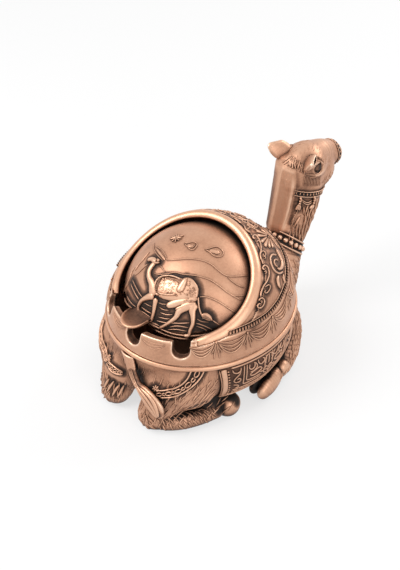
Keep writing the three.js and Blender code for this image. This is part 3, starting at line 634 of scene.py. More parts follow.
def base_outside(p):
    """Bowl and legs, without the mouth."""
    f = both(body_field(p), FLAT - p[:, 2], 1.5)
    f = blend(f, legs_field(folded(p)), 3.4)
    return both(f, GROUND_Z - p[:, 2], 0.6)


def base_field(p):
    """The hollow bowl with its legs."""
    room = both(body_field(p, -WALL), FLOOR - p[:, 2], 3.0)
    return cut(both(base_outside(p), p[:, 2] + SEAM, 0.3), room, 0.4)


# Neck and head
neck_limb = limb([(0, 44, -22, 20, 14.5), (0, 54, -17.5, 17.5, 14.2), (0, 61.5, -8.5, 13.6, 12.8),
                  (0, 67.2, 0.6, 10.9, 10.9), (0, 71, 7.5, 10.3, 10.5), (0, 75, 15.5, 10.6, 11),
                  (0, 78.2, 24.6, 11.3, 11.8), (0, 80.8, 34, 11.2, 13.2), (0, 81.5, 40, 10.2, 11.5)], 22)
muzzle = limb([(0, 85, 46, 9.2, 8.6), (0, 93, 44.6, 7.8, 8.6), (0, 99.5, 42.4, 6.6, 7.9),
               (0, 104.4, 40.6, 6.5, 7.1), (0, 107.1, 39.3, 5.7, 5.9)], 12)

SKULL, JAW = ((0, 80.8, 44.4), (11.2, 13.2, 11.4)), [((3.6, 91.4, 36.6), (6.6, 10, 8.6), 3)]
BROWS = [((8.0, 79.4, 49.6), (2.6, 5.4, 2.0), 2.4), ((9.6, 80.4, 43.6), (2.4, 5.6, 1.9), 1.4)]
EYE_SOCKET, NOSTRIL = ((12.4, 79.8, 47.0), (3.2, 3.9, 3.0)), ((4.6, 110.4, 41.8), (1.2, 2.4, 0.8))


def head_field(p):
    """Head with its eye sockets."""
    q = folded(p)
    f = clay(q, JAW + BROWS, blend(lump(q, *SKULL), muzzle(q), 3.5))
    return cut(f, lump(q, *EYE_SOCKET), 1.0)


def neck_core(p):
    """Neck and head without the mane."""
    f = blend(neck_limb(folded(p)), head_field(p), 3.2)
    f = blend(f, lump(p, (0, 45, -29.5), (16, 14, 13)), 5)
    return both(f, GROUND_Z - p[:, 2], 0.6)


mane = limb([(-0.9, 71.4, 49.0, 4.8, 1.6), (-1.0, 69.2, 44.5, 5.5, 2.4), (-1.0, 67.3, 34, 5.6, 2.6),
             (-1.0, 65.0, 22, 5.2, 2.5), (-0.7, 61.8, 11.5, 3.9, 2.0)], 10)
mane_left = limb([(-5.0, 71.8, 46, 4.4, 2.0), (-5.2, 69.8, 34, 4.6, 2.2), (-5.0, 67.2, 22, 4.2, 2.0),
                  (-4.0, 63.4, 12, 3.2, 1.5)], 8)
lips = limb([(0, 113.2, 37.2, 0.5, 0.45), (4.6, 110.2, 37.4, 0.5, 0.45), (6.8, 103.5, 38.4, 0.4, 0.4),
             (7.2, 97.5, 38.6, 0.3, 0.3)], 8)


def neck_field(p):
    """Neck and head with the mane's two lobes."""
    soft = 0.7 + 3.3 * np.clip((0.5 - p[:, 0]) / 3.5, 0, 1)
    return blend(blend(neck_core(p), mane_left(p), 5.0), mane(p), soft)


def neck_piece_field(p):
    """The neck's casting: it ends at the bowl, and has lips and nostrils."""
    f = cut(neck_field(p), body_field(p, -0.6), 0.3)
    face = p[:, 1] > 94
    q = folded(p[face])
    f[face] = cut(cut(f[face], lips(q), 0.4), lump(q, *NOSTRIL), 0.4)
    return f


FINE = 0.45
P_BASE, F_BASE = skin(base_field, (-48, -64, -43), (48, 46, 2), FINE)
P_NECK, F_NECK = skin(neck_piece_field, (-22, 36, -43), (22, 115, 60), FINE)

# Cover: dome, band and bezel
DOME, DOME_WALL = (45.2, 50.2, 46.0), 2.2
BAND, BAND_IN = (46.1, 51.3, 39.0), (43.7, 46.4, 44.0)
BAND_TOP = np.array([(0, 12.3), (36, 12.3), (44, 13), (56, 14), (90, 14.2), (102, 15.4),
                     (116, 17.3), (130, 19.8), (150, 22), (180, 23.2)])
HOLE_C, HOLE_IN, RING = np.array([0, -15.6, 26.5]), (34.7, 33.4), 5.0
HOLE_N = np.array([0, -0.457, 0.889]) / math.hypot(0.457, 0.889)
HOLE_V = np.array([0, 0.889, 0.457]) / math.hypot(0.457, 0.889)
SADDLE_DROP, SADDLE_HALF = 7.3, 39.7
NOTCHES, NOTCH_W, NOTCH_Z, NOTCH_FROM = (-30, 0, 30), 8.6, 4.4, 36
GROOVE, GROOVE_DEEP, DOME_LOW = (5.0, 6.1), 0.35, 8.0
FRONT_PLAN, RING_SEAT = 39, (0.3, 4.95, -1.5)


def band_top(angle):
    """Height of the band's upper edge at a plan angle from the rear."""
    return np.interp(np.abs(angle), BAND_TOP[:, 0], BAND_TOP[:, 1])


def oval(p, half, grow=0.0):
    """Field of an ellipsoid about the middle of the seam."""
    h = np.array(half) + grow
    return (np.sqrt(((p / h) ** 2).sum(-1)) - 1) * h.min()


def plan_angle(p):
    """Plan angle from the rear, in degrees."""
    return np.degrees(np.arctan2(p[:, 0], -p[:, 1]))


def ring_place(p):
    """Distance out from the hole's edge, and height over the bezel's saddle."""
    d = p - HOLE_C
    x, t, s = d[:, 0], d @ HOLE_V, d @ HOLE_N
    rad = np.sqrt(x * x + t * t) + 1e-6
    edge = 1 / np.sqrt((x / rad / HOLE_IN[0]) ** 2 + (t / rad / HOLE_IN[1]) ** 2)
    return rad - edge, s + SADDLE_DROP * (x / SADDLE_HALF) ** 2


def band_height(angle):
    """Half height of the band's ellipsoid, fuller toward the head."""
    return BAND[2] + 4 * (1 - np.cos(angle))


def band_outer(p):
    """Field of the band's outside."""
    tall = band_height(np.radians(plan_angle(p)))
    return (np.sqrt((p[:, 0] / BAND[0]) ** 2 + (p[:, 1] / BAND[1]) ** 2 + (p[:, 2] / tall) ** 2) - 1) * 45


def notch(p, angle):
    """Field of one rest: a slot with a round bottom through the rear wall."""
    a = math.radians(angle)
    side = p[:, 0] * math.cos(a) + p[:, 1] * math.sin(a)
    ahead = p[:, 0] * math.sin(a) - p[:, 1] * math.cos(a)
    lift = p[:, 2] - (NOTCH_Z + NOTCH_W / 2)
    across = np.where(lift < 0, np.hypot(side, lift), np.abs(side)) - NOTCH_W / 2
    return np.maximum(across, NOTCH_FROM - ahead)


def cover_field(p):
    """Band and dome, with the opening, a groove round it and the rests."""
    out, high = ring_place(p)
    plan = plan_angle(p)
    inward = np.clip(-band_outer(p) / 4, 0, 1)
    band = cut(band_outer(p), oval(p, BAND_IN), 0.5)
    band = both(band, p[:, 2] - band_top(plan) + 1.1 * inward, 0.7)
    shell = cut(oval(p, DOME), oval(p, DOME, -DOME_WALL), 0.2)
    shell = both(shell, RING / 2 - out, 0.2)
    groove = both(GROOVE[0] - out, out - GROOVE[1], 0.1)
    shell = cut(shell, both(groove, -GROOVE_DEEP - oval(p, DOME), 0.05), 0.25)
    shell = both(shell, DOME_LOW - p[:, 2], 0.2)
    seat = both(RING_SEAT[0] - out, out - RING_SEAT[1])
    seat = both(seat, both(RING_SEAT[2] - high, FRONT_PLAN - np.abs(plan)))
    f = cut(blend(band, shell, 0.5), seat, 0.1)
    for angle in NOTCHES:
        f = cut(f, notch(p, angle), 0.5)
    return both(f, SEAM - p[:, 2], 0.25)


P_COVER, F_COVER = skin(cover_field, (-48, -53, -1), (48, 53, 48), FINE)

# Section of the bezel: out from the hole's edge, height, wear
BEZEL_SECTION = np.array([
    (0, -5.2, 0.3), (0, -0.9, 0.45), (0.12, -0.25, 0.74), (0.45, 0.2, 0.8), (1.0, 0.6, 0.74),
    (1.8, 0.9, 0.66), (2.6, 0.95, 0.64), (3.4, 0.72, 0.66), (4.1, 0.25, 0.72), (4.7, -0.5, 0.72),
    (5.0, -1.3, 0.5), (5.05, -2.4, 0.34), (4.9, -5.2, 0.3)])
BEZEL_END, BEZEL_LOWER, BEZEL_FOOT = 36.5, 0.9, 42.9


def bezel_rings():
    """Sections of the raised ring around the opening, from one side of the wall to the other."""
    rings = []
    for t in np.linspace(0, 360, 361):
        a = math.radians(t)
        way = np.array([math.sin(a), 0, 0]) + HOLE_V * -math.cos(a)
        edge = 1 / math.hypot(math.sin(a) / HOLE_IN[0], math.cos(a) / HOLE_IN[1])
        section = HOLE_C + (edge + BEZEL_SECTION[:, :1]) * way
        high = BEZEL_SECTION[:, 1] - SADDLE_DROP * (section[:, 0] / SADDLE_HALF) ** 2
        section = section + HOLE_N * high[:, None]
        plan = abs(math.degrees(math.atan2(section[6, 0], -section[6, 1])))
        section[:, 2] -= BEZEL_LOWER * np.clip((46 - plan) / 8, 0, 1) ** 1.5
        if plan > BEZEL_END:
            for foot in (0, -1):
                r = np.linalg.norm(section[foot])
                section[foot] *= max(r, BEZEL_FOOT) / r
            rings.append(section)
    return np.array(rings)


rings = bezel_rings()
bezel_wear = np.append(np.tile(BEZEL_SECTION[:, 2], len(rings)), [0.4, 0.4])
piece("bezel_ring", *loft(rings), PALE, "cover", ("opening_bezel",), bezel_wear)

# Lid
LID_R, LID_WALL, LID_EDGE = 41.2, 1.5, 20.1
LID_AXIS = np.array([0, -0.2606, 0.9652])


def lid_field(p):
    """The lid: a round slice of a hollow ball."""
    r = np.linalg.norm(p, axis=1)
    f = both(r - LID_R, LID_R - LID_WALL - r, 0.4)
    return both(f, LID_EDGE - p @ LID_AXIS, 0.5)


P_LID, F_LID = skin(lid_field, (-38, -42, 8), (38, 34, 43), FINE)

# Dome ornament
# Enlarged areas of the photograph: corner pixel and scale.  Traced lines are in their units.
AREA_DOME, AREA_REAR = (225, 205, 14), (95, 335, 12)
AREA_HEAD, AREA_LID = (262, 128, 13), (100, 225, 11)


def dome(p):
    """Field of the dome's outside."""
    return oval(p, DOME)


VINE = [
    ([(425, 478), (398, 468), (384, 446), (398, 426), (425, 424), (450, 446), (474, 484), (492, 535),
      (500, 590), (498, 645), (488, 690), (498, 745), (518, 790), (532, 836)], 0.42),
    ([(492, 690), (505, 655), (535, 648), (560, 672), (562, 705), (544, 716), (530, 698), (538, 680)], 0.36),
    ([(440, 525), (455, 505), (476, 508), (474, 530)], 0.34),
    ([(528, 735), (545, 722), (560, 738), (550, 760)], 0.32),
    ([(560, 905), (535, 900), (524, 876), (540, 852), (572, 850), (598, 878), (612, 930), (612, 980),
      (598, 1035), (572, 1085), (540, 1130), (518, 1180), (503, 1230), (494, 1290)], 0.46),
    ([(545, 935), (560, 925), (574, 945), (562, 968)], 0.32),
    ([(548, 1152), (580, 1130), (608, 1118), (628, 1135), (622, 1170), (604, 1205), (575, 1232),
      (552, 1222), (556, 1200), (574, 1198)], 0.36),
    ([(468, 1345), (486, 1312), (516, 1302), (542, 1322), (548, 1360), (532, 1404), (500, 1438),
      (468, 1440), (452, 1416), (466, 1388), (488, 1378), (494, 1392)], 0.42),
    ([(486, 1350), (500, 1340), (512, 1356), (500, 1376)], 0.32),
    ([(716, 706), (684, 694), (650, 702), (631, 748), (642, 820), (670, 888), (712, 938), (762, 958),
      (806, 932)], 0.62),
    ([(736, 868), (704, 848), (684, 806), (690, 770), (716, 764), (734, 790)], 0.5),
    ([(330, 196), (384, 236), (440, 284), (452, 306), (416, 318), (360, 290), (318, 242), (312, 204)], 0.5),
    ([(372, 262), (404, 268), (420, 290), (396, 296)], 0.34),
    ([(268, 290), (284, 336), (318, 368), (356, 392)], 0.42),
    ([(292, 286), (324, 292), (338, 316), (318, 334), (300, 318)], 0.36),
    ([(228, 262), (196, 236), (160, 206), (122, 186)], 0.42),
    ([(150, 176), (120, 160), (86, 150), (70, 128), (92, 112), (116, 126)], 0.4),
    ([(60, 120), (36, 108), (10, 104), (-14, 92), (-8, 74), (16, 78)], 0.38),
    ([(-30, 88), (-60, 80), (-96, 78), (-100, 60), (-74, 56)], 0.36),
    ([(98, 90), (60, 80), (30, 60), (40, 44), (64, 54)], 0.36),
]
BROAD = [
    ([(702, 616), (738, 680), (776, 748), (798, 812), (788, 870), (756, 898), (722, 884)],
     (0.5, 0.9, 1.25, 1.3, 1.1, 0.8, 0.5)),
    ([(742, 985), (734, 1040), (744, 1110), (768, 1176)], (0.5, 1.15, 1.0, 0.3)),
    ([(806, 965), (812, 1020), (830, 1080), (842, 1120)], (0.4, 0.9, 0.75, 0.3)),
    ([(596, 420), (550, 388), (494, 342)], (0.45, 0.8, 1.1)),
    ([(584, 428), (520, 400), (430, 366)], (0.4, 0.7, 1.1)),
    ([(578, 440), (520, 436), (446, 430)], (0.4, 0.7, 1.0)),
    ([(580, 456), (540, 486), (504, 522)], (0.4, 0.7, 1.0)),
    ([(592, 470), (574, 520), (556, 582)], (0.4, 0.8, 1.2)),
    ([(604, 476), (608, 530), (616, 598)], (0.4, 0.8, 1.1)),
    ([(618, 474), (638, 530), (664, 600)], (0.4, 0.7, 1.0)),
    ([(598, 452), (606, 456), (612, 462)], (1.1, 1.4, 1.1)),
]
# Rays between the two vines: first ray and the step to the next one
RAYS = [((514, 296), (25, -4)), ((590, 392), (22, -6)), ((668, 490), (20, -8)), ((738, 586), (18, -12)),
        ((800, 650), (12, -14))]
# The oval with its two half axes, its rows of dots, and small leaves near the bezel
OVAL, OVAL_LONG, OVAL_WIDE = (215, 138), (92, 22), (-10, 34)
OVAL_DOTS, DOT_STEP, DOT_ROWS = (150, 124), (26, 6.5), (-14, 0, 14)
LEAVES, LEAF = [(462, 1628), (505, 1602), (545, 1586), (490, 1630)], [(-105, 60), (-92, 45), (-80, 30)]
dome_line = partial(traced, dome, AREA_DOME)


def moved(line, x, y):
    """A line of points moved to a place."""
    return [(x + a, y + b) for a, b in line]


def dome_ornament():
    """Everything cast on the right of the dome."""
    made = [dome_line(line, wide, 0.55) for line, wide in VINE]
    made += [dome_line(line, wide, 0.8, taper=(1.2, 1.0)) for line, wide in BROAD]
    for i in range(5):
        made.append(dome_line([(x + i * dx, y + i * dy) for (x, y), (dx, dy) in RAYS], 0.36, 0.45))
    turn = np.linspace(0, TAU, 25)[:, None]
    loop = np.array(OVAL) + np.array(OVAL_LONG) * np.cos(turn) + np.array(OVAL_WIDE) * np.sin(turn)
    made.append(dome_line(loop, 0.4, 0.5))
    for row in DOT_ROWS:
        dots = moved([(DOT_STEP[0] * i, DOT_STEP[1] * i + row) for i in range(6)], *OVAL_DOTS)
        made.append(beads(dome, seen_at(dome, enlarged(AREA_DOME, dots)), (0.42, 0.42, 0.5)))
    for place in LEAVES:
        made.append(dome_line(moved(LEAF, *place), (0.3, 0.6, 0.35), 0.35))
    return joined(made)


right = dome_ornament()
ORNAMENT_MARKS = right[0]
piece("dome_ornament_right", *right, COPPER, "cover", wear=0.72)
left = mirrored(right)
left = (drop(dome, left[0], 3) * 0.55 + left[0] * 0.45, left[1])
piece("dome_ornament_left", *left, COPPER, "cover", wear=0.72)

# Rope along the band
ROPE_FROM, ROPE_TO, ROPE_RISE, ROPE_PITCH, ROPE_LEAN = 61, 299, 1.25, 1.62, 0.55
ROPE_BEAD, ROPE_CORDS = (1.15, 0.62, 0.95), ((0.1, 0.24), (2.5, 0.2))


def band_point(angle, z):
    """Points of the band's outside at plan angles (degrees from the rear) and heights."""
    a = np.radians(angle)
    s = np.sqrt(np.maximum(1 - (z / band_height(a)) ** 2, 0))
    return np.stack([BAND[0] * s * np.sin(a), -BAND[1] * s * np.cos(a), z * np.ones_like(a)], 1)


def ring_at(angle, rise):
    """Points on the dome just over the band's edge."""
    z = band_top(np.where(angle > 180, 360 - angle, angle)) + rise
    a = np.radians(angle)
    s = np.sqrt(1 - (z / DOME[2]) ** 2)
    return np.stack([DOME[0] * s * np.sin(a), -DOME[1] * s * np.cos(a), z], 1)


def rope():
    """Slanted beads between two thin cords."""
    angles = np.linspace(ROPE_FROM, ROPE_TO, 600)
    steps = np.linalg.norm(np.diff(ring_at(angles, ROPE_RISE), axis=0), axis=1)
    reach = np.concatenate([[0], np.cumsum(steps)])
    spots = np.interp(np.arange(0.8, reach[-1], ROPE_PITCH), reach, angles)
    centres = ring_at(spots, ROPE_RISE)
    ahead = ring_at(spots + 0.5, ROPE_RISE) - ring_at(spots - 0.5, ROPE_RISE)
    ahead /= np.linalg.norm(ahead, axis=1, keepdims=True)
    lean = np.cross(facing(dome, centres), ahead) + ROPE_LEAN * ahead
    made = [beads(dome, centres, ROPE_BEAD, along=lean, sink=0.25)]
    for rise, wide in ROPE_CORDS:
        made.append(stroke(dome, ring_at(np.linspace(ROPE_FROM, ROPE_TO, 200), rise), wide, 0.4))
    return joined(made)


points, faces = rope()
rope_wear = relief_of(points, faces, scales=((3, 0.1, 1.0),)) * 0.5 + 0.4
piece("rope_beads", points, faces, COPPER, "cover", ("rope_border",), rope_wear)

# Drapery on the band, hung from knots at even angles
KNOT_PIXELS = [(221.5, 349), (250.5, 338.5)]
FRONT_FOLDS, FIRST_SWAG = (6.5, 23), 37.0
# Tail and loop of cloth beside a knot, for knots 25 degrees apart
KNOT_PITCH, KNOT_TAIL = 25.0, [(0.35, 0.4), (0.6, -2.2), (1.5, -5), (2.1, -8.6)]
KNOT_LOOP = [(0.5, -0.3), (1.6, -2.6), (3.4, -4.2), (3.2, -5.6), (2.4, -5.0)]
first, second = plan_angle(seen_at(band_outer, KNOT_PIXELS))
knot_count = int((180 - first) / (second - first)) + 1
pitch = (180 - first) / (knot_count - 0.5)
knots = first + pitch * np.arange(knot_count)


def cloth(points, wide, high):
    """A fold through (plan angle, height) points of the band."""
    points = np.array(points, float)
    return stroke(band_outer, band_point(points[:, 0], points[:, 1]), wide, high, taper=(2, 2))


def knot(a):
    """A knot with the two tails and two loops of cloth that hang from it."""
    top, made = band_top(a) - 1.6, []
    for s in (-pitch / KNOT_PITCH, pitch / KNOT_PITCH):
        for line, wide in ((KNOT_TAIL, 0.34), (KNOT_LOOP, 0.32)):
            made.append(cloth([(a + s * x, top + z) for x, z in line], wide, 0.42))
    made.append(beads(band_outer, band_point(np.array([a]), np.array([top + 0.2])), (0.75, 0.6, 0.55)))
    return made


def swag(a0, a1):
    """Four sagging folds between two plan angles."""
    made, span = [], np.linspace(0, 1, 13)
    t0, t1 = band_top(a0), band_top(min(a1, 360 - a1))
    for i in range(4):
        sag = (1.2 + 1.6 * i) * min(1, (a1 - a0) / 20)
        side = 0.6 + 0.35 * i
        angle = a0 + side + (a1 - a0 - 2 * side) * span
        rise = (t0 + (t1 - t0) * span) - 1.5 - 0.35 * i - 4 * sag * span * (1 - span)
        made.append(cloth(np.stack([angle, rise], 1), 0.3 + 0.04 * i, 0.46))
    return made


def front_folds():
    """Three faint folds over the middle rest."""
    made, span = [], np.linspace(0, 1, 9)
    angle = FRONT_FOLDS[0] + (FRONT_FOLDS[1] - FRONT_FOLDS[0]) * span
    for i in range(3):
        rise = 11.2 - 0.5 * i - 4 * (1.0 + 0.9 * i) * span * (1 - span)
        made.append(cloth(np.stack([angle, rise], 1), 0.2, 0.18))
    return made


swags = swag(FIRST_SWAG, knots[0]) + front_folds()
for a, after in zip(knots, np.append(knots[1:], 360 - knots[-1])):
    swags += knot(a) + swag(a, after)
piece("drapery_swags", *both_flanks(swags), COPPER, "cover", wear=0.64)

# Scene on the lid, traced from the photograph: each line with its half width
def ball(p):
    """Field of the lid's outside."""
    return np.linalg.norm(p, axis=1) - LID_R


def lid_lines(rows, high, taper=(1, 1), lift=0.0):
    """Strokes on the lid through lines with their half widths."""
    return [traced(ball, AREA_LID, line, wide, high, taper=taper, lift=lift) for line, wide in rows]


DUNES = [
    ([(735, 392), (830, 384), (950, 375), (1060, 380), (1150, 400), (1230, 440), (1300, 500), (1370, 550),
      (1450, 566), (1620, 562)], 0.34),
    ([(1400, 578), (1450, 618), (1510, 660), (1585, 692)], 0.26),
    ([(590, 530), (650, 546), (740, 540), (830, 524), (920, 545), (1040, 556), (1130, 576), (1220, 610),
      (1310, 670), (1400, 740), (1500, 800), (1560, 832)], 0.36),
    ([(1450, 775), (1520, 780), (1600, 776)], 0.26),
    ([(1090, 792), (1160, 790), (1240, 815), (1330, 860), (1410, 915), (1495, 968)], 0.4),
    ([(1225, 1040), (1290, 1085), (1335, 1122)], 0.4),
    ([(700, 395), (650, 350), (606, 290), (592, 240), (600, 200)], 0.32),
    ([(735, 390), (722, 335), (684, 282), (640, 250), (612, 232)], 0.32),
    ([(720, 388), (690, 350), (650, 300), (622, 262)], 0.9),
    ([(390, 505), (420, 450), (470, 390), (520, 330), (548, 300)], 0.42),
    ([(388, 556), (430, 520), (480, 470), (530, 430)], 0.4),
    ([(262, 740), (282, 690), (306, 640), (332, 580), (352, 520), (384, 470)], 0.6),
    ([(254, 752), (272, 712), (300, 668), (318, 640)], 0.5),
    ([(660, 440), (690, 480), (720, 520)], 0.34),
]
STRATA = [
    ([(268, 800), (292, 858), (340, 908), (402, 952), (452, 986)], 0.6),
    ([(300, 780), (340, 850), (400, 905), (440, 930)], 0.34),
    ([(340, 640), (372, 720), (410, 790), (430, 820)], 0.4),
    ([(360, 600), (400, 690), (440, 760), (470, 800)], 0.3),
    ([(455, 900), (520, 950), (570, 975)], 0.4),
    ([(450, 940), (520, 990), (560, 1020)], 0.42),
    ([(620, 1050), (700, 1070), (800, 1078), (900, 1080), (990, 1074)], 0.34),
    ([(640, 1010), (720, 1030), (780, 1030)], 0.3),
    ([(660, 960), (730, 985), (800, 985)], 0.34),
    ([(650, 900), (700, 930), (760, 940)], 0.3),
    ([(640, 850), (690, 870), (750, 868)], 0.28),
    ([(760, 1122), (860, 1110), (980, 1130)], 0.36),
    ([(740, 1150), (840, 1148), (960, 1168)], 0.34),
    ([(1050, 1075), (1150, 1110), (1250, 1160)], 0.34),
    ([(1060, 1110), (1140, 1140), (1200, 1180)], 0.3),
    ([(1060, 1030), (1080, 1040), (1120, 1060), (1200, 1070)], 0.3),
    ([(480, 850), (530, 880), (575, 900)], 0.3),
    ([(440, 1000), (520, 1045), (600, 1085), (660, 1110)], 0.5),
]
RIM_LINES = [
    ([(420, 985), (500, 1040), (560, 1082), (610, 1112), (690, 1150), (790, 1190), (900, 1210), (990, 1216),
      (1100, 1212), (1230, 1184), (1340, 1130)], 0.5),
    ([(600, 1145), (690, 1190), (800, 1228), (900, 1246), (980, 1250)], 0.42),
]
SUN_RAYS = [(770, 162), (792, 186), (828, 196), (872, 178), (905, 152), (925, 118), (880, 112), (845, 108),
            (806, 122), (780, 140)]
SUN, SUN_DISC = (845, 145), [([(838, 146), (845, 145), (852, 144)], 1.0)]
CLOUDS = [
    ([(925, 197), (962, 204), (1004, 192), (1052, 196), (1068, 222), (1044, 262), (1012, 278), (982, 262),
      (960, 236), (926, 204)], 0.32),
    ([(975, 215), (1000, 225), (1010, 250), (1030, 240), (1050, 215)], 0.3),
    ([(960, 215), (1000, 235), (1030, 225)], 1.1),
    ([(1152, 268), (1200, 262), (1250, 244), (1300, 246), (1352, 290), (1342, 340), (1292, 352), (1240, 332),
      (1206, 300), (1154, 272)], 0.34),
    ([(1230, 290), (1262, 280), (1296, 296), (1290, 322), (1262, 316)], 0.3),
    ([(1200, 282), (1250, 290), (1320, 310)], 1.3),
]
CAMEL_LEGS = [
    ([(600, 775), (540, 790), (470, 826), (434, 880), (426, 930), (430, 990)],
     (2.2, 1.7, 1.2, 1.0, 0.8, 0.95)),
    ([(622, 800), (606, 880), (594, 960), (572, 1040), (552, 1062)], (1.6, 1.2, 0.9, 0.8, 0.9)),
    ([(1010, 870), (930, 905), (870, 950), (838, 1010), (770, 1066), (700, 1112), (655, 1132)],
     (2.2, 2.2, 1.6, 1.1, 0.9, 0.8, 1.0)),
    ([(1050, 860), (1018, 930), (1024, 1010), (1020, 1090), (992, 1160), (978, 1210), (920, 1214)],
     (2.4, 1.9, 1.3, 1.0, 0.9, 0.9, 1.1)),
    # thigh lobe
    ([(1075, 812), (980, 826), (880, 846), (790, 874), (735, 892)], (1.1, 1.5, 1.7, 2.0, 1.4)),
    ([(1060, 862), (980, 872), (900, 900), (830, 928)], (1.2, 1.2, 1.0, 0.7)),
]
CAMEL_TRUNK = [
    ([(620, 700), (700, 690), (800, 700), (900, 720), (1000, 750), (1070, 800)],
     (4.0, 5.6, 6.0, 5.6, 4.6, 2.2)),
    ([(900, 650), (960, 640), (1010, 690), (1060, 770)], (2.4, 3.0, 2.8, 2.0)),
    ([(600, 780), (592, 720), (574, 640), (544, 570), (548, 500), (586, 440), (620, 416)],
     (3.0, 2.8, 2.0, 1.5, 1.3, 1.3, 1.5)),
]
CAMEL_HEAD = [
    ([(622, 420), (590, 384), (560, 384), (534, 404)], (1.4, 1.5, 1.2, 0.8)),
    ([(596, 420), (640, 424), (664, 416)], (0.9, 0.7, 0.5)),
    ([(640, 418), (652, 396), (644, 376)], (0.8, 0.6, 0.4)),
]
CAMEL_HUMPS = [
    ([(880, 752), (884, 716), (914, 660), (946, 610), (966, 592)], (2.0, 2.2, 2.1, 1.7, 1.0)),
    ([(700, 616), (712, 604), (724, 590)], (1.1, 1.5, 1.2)),
    ([(638, 780), (642, 764), (650, 742)], (1.4, 1.9, 1.5)),
]
CAMEL_TAIL = [
    ([(1080, 792), (1084, 850), (1094, 920), (1116, 984), (1130, 996)], (0.6, 0.55, 0.5, 0.55, 0.6)),
    ([(1110, 984), (1160, 1000), (1210, 1030), (1240, 1052)], (0.8, 1.7, 1.5, 0.5)),
]
CLOTH_EDGES = [
    ([(626, 736), (622, 680), (640, 620), (690, 578), (770, 566), (850, 584), (900, 612)], 0.6),
    ([(650, 742), (700, 760), (780, 768), (850, 760)], 0.6),
]
# Fringes of the cloth: first and last thread, their count, the thread's reach and the row's bow
FRINGES = [((640, 725), (692, 590), 12, (-26, -4), 0), ((752, 578), (905, 640), 15, (6, 30), 14),
           ((700, 752), (850, 765), 13, (4, 26), 14)]
TAIL_TUFT = [([(1120, 996 + 8 * i), (1170, 1006 + 12 * i), (1222, 1038 + 5 * i)], 0.2)
             for i in (-1, 0, 1, 2)]
# Rough patches of the camel: middle, half axes, and the box that random pixels are drawn from
RUMP, RUMP_BOX, HUMP = (980, 760, 100, 95), ((880, 600), (1080, 860)), (1000, 660, 60)
CLOTH, CLOTH_BOX = (765, 668, 118, 84), ((640, 585), (880, 755))


def fringe(first, last, count, reach, bow):
    """Lines of the threads along one edge of the saddle cloth."""
    rows = []
    for t in np.arange(count) / (count - 1):
        x, y = first[0] + (last[0] - first[0]) * t, first[1] + (last[1] - first[1]) * t
        y -= bow * math.sin(t * math.pi)
        rows.append(([(x, y), (x + reach[0] / 2, y + reach[1] / 2), (x + reach[0], y + reach[1])], 0.3))
    return rows


def on_rump(x, y):
    """Whether a pixel lies on the rump or the hump."""
    round_part = (x - RUMP[0]) ** 2 / RUMP[2] ** 2 + (y - RUMP[1]) ** 2 / RUMP[3] ** 2 < 1
    return round_part or abs(x - HUMP[0]) + abs(y - HUMP[1]) < HUMP[2]


def on_cloth(x, y):
    """Whether a pixel lies on the saddle cloth."""
    return abs(x - CLOTH[0]) / CLOTH[2] + abs(y - CLOTH[1]) / CLOTH[3] < 1.25


def speckled(count, box, wanted, radii, sides, rise):
    """Small lumps at random pixels of a box, on a level over the lid."""
    found, (low, high) = [], box
    while len(found) < count:
        x, y = speckle.uniform(low[0], high[0]), speckle.uniform(low[1], high[1])
        if wanted(x, y):
            found.append((x, y))
    p, f = beads(ball, seen_at(ball, enlarged(AREA_LID, found)), radii, sides=sides, sink=0.1)
    return p * (LID_R + rise) / LID_R, f


# The camel's lines in groups: height and length of the ends
CAMEL = [(CAMEL_TRUNK, 1.1, (1.5, 1.5)), (CAMEL_HEAD, 1.5, (0.6, 0.8)), (CAMEL_HUMPS, 2.3, (1.2, 1.2)),
         (CAMEL_TAIL, 1.0, (0.8, 1.4)), (CLOTH_EDGES, 2.0, (0.6, 0.6))]
CAMEL += [(fringe(*row), 1.9, (0.3, 0.3)) for row in FRINGES]
SUN_LINES = [([SUN, ((SUN[0] + x) / 2, (SUN[1] + y) / 2), (x, y)], (0.6, 0.5, 0.26)) for x, y in SUN_RAYS]
LANDSCAPE = [(DUNES, 0.42, (2, 2)), (RIM_LINES, 0.6, (3, 3)), (SUN_LINES, 0.75, (0.4, 0.8)),
             (SUN_DISC, 0.9, (0.5, 0.5)), (CLOUDS, 0.45, (1, 1)), (TAIL_TUFT, 1.35, (0.6, 0.6))]
speckle = np.random.default_rng(17)
strata = lid_lines(STRATA, 0.35, (2, 2))
camel = lid_lines(CAMEL_LEGS, 0.95, lift=0.1)
for group in CAMEL:
    camel += lid_lines(*group)
shapes = strata + camel
for group in LANDSCAPE:
    shapes += lid_lines(*group)
shapes.append(speckled(60, RUMP_BOX, on_rump, (0.26, 0.26, 0.3), 6, 1.12))
shapes.append(speckled(90, CLOTH_BOX, on_cloth, (0.42, 0.34, 0.14), 8, 1.03))
shapes = joined(shapes)
high = np.linalg.norm(shapes[0], axis=1) - LID_R
lid_wear = np.clip(0.52 + 0.2 * high - 0.09 * np.maximum(high - 0.9, 0), 0, 0.72)
piece("lid_scene", *shapes, COPPER, "lid", ("lid_relief",), lid_wear)

# Thumb tab: its section out from the lid's middle, height, painted shade
TAB_SECTION = [(37.0, 12.4, 0), (43.0, 12.4, 0), (47.0, 12.5, 0), (49.8, 12.8, 0), (51.2, 13.4, 0),
               (51.7, 14.1, 0), (51.4, 14.7, 0.04), (50.6, 14.7, 0.1), (49.3, 14.2, 0.2),
               (47.1, 13.6, 0.3), (44.4, 13.4, 0.34), (41.2, 13.6, 0.34), (38.8, 14.2, 0.3),
               (37.0, 15.0, 0.3)]
TAB_ROOT, TAB_HALF_ANGLE, TAB_TURN, TAB_ROWS = 37, 8.6, -5.0, 41


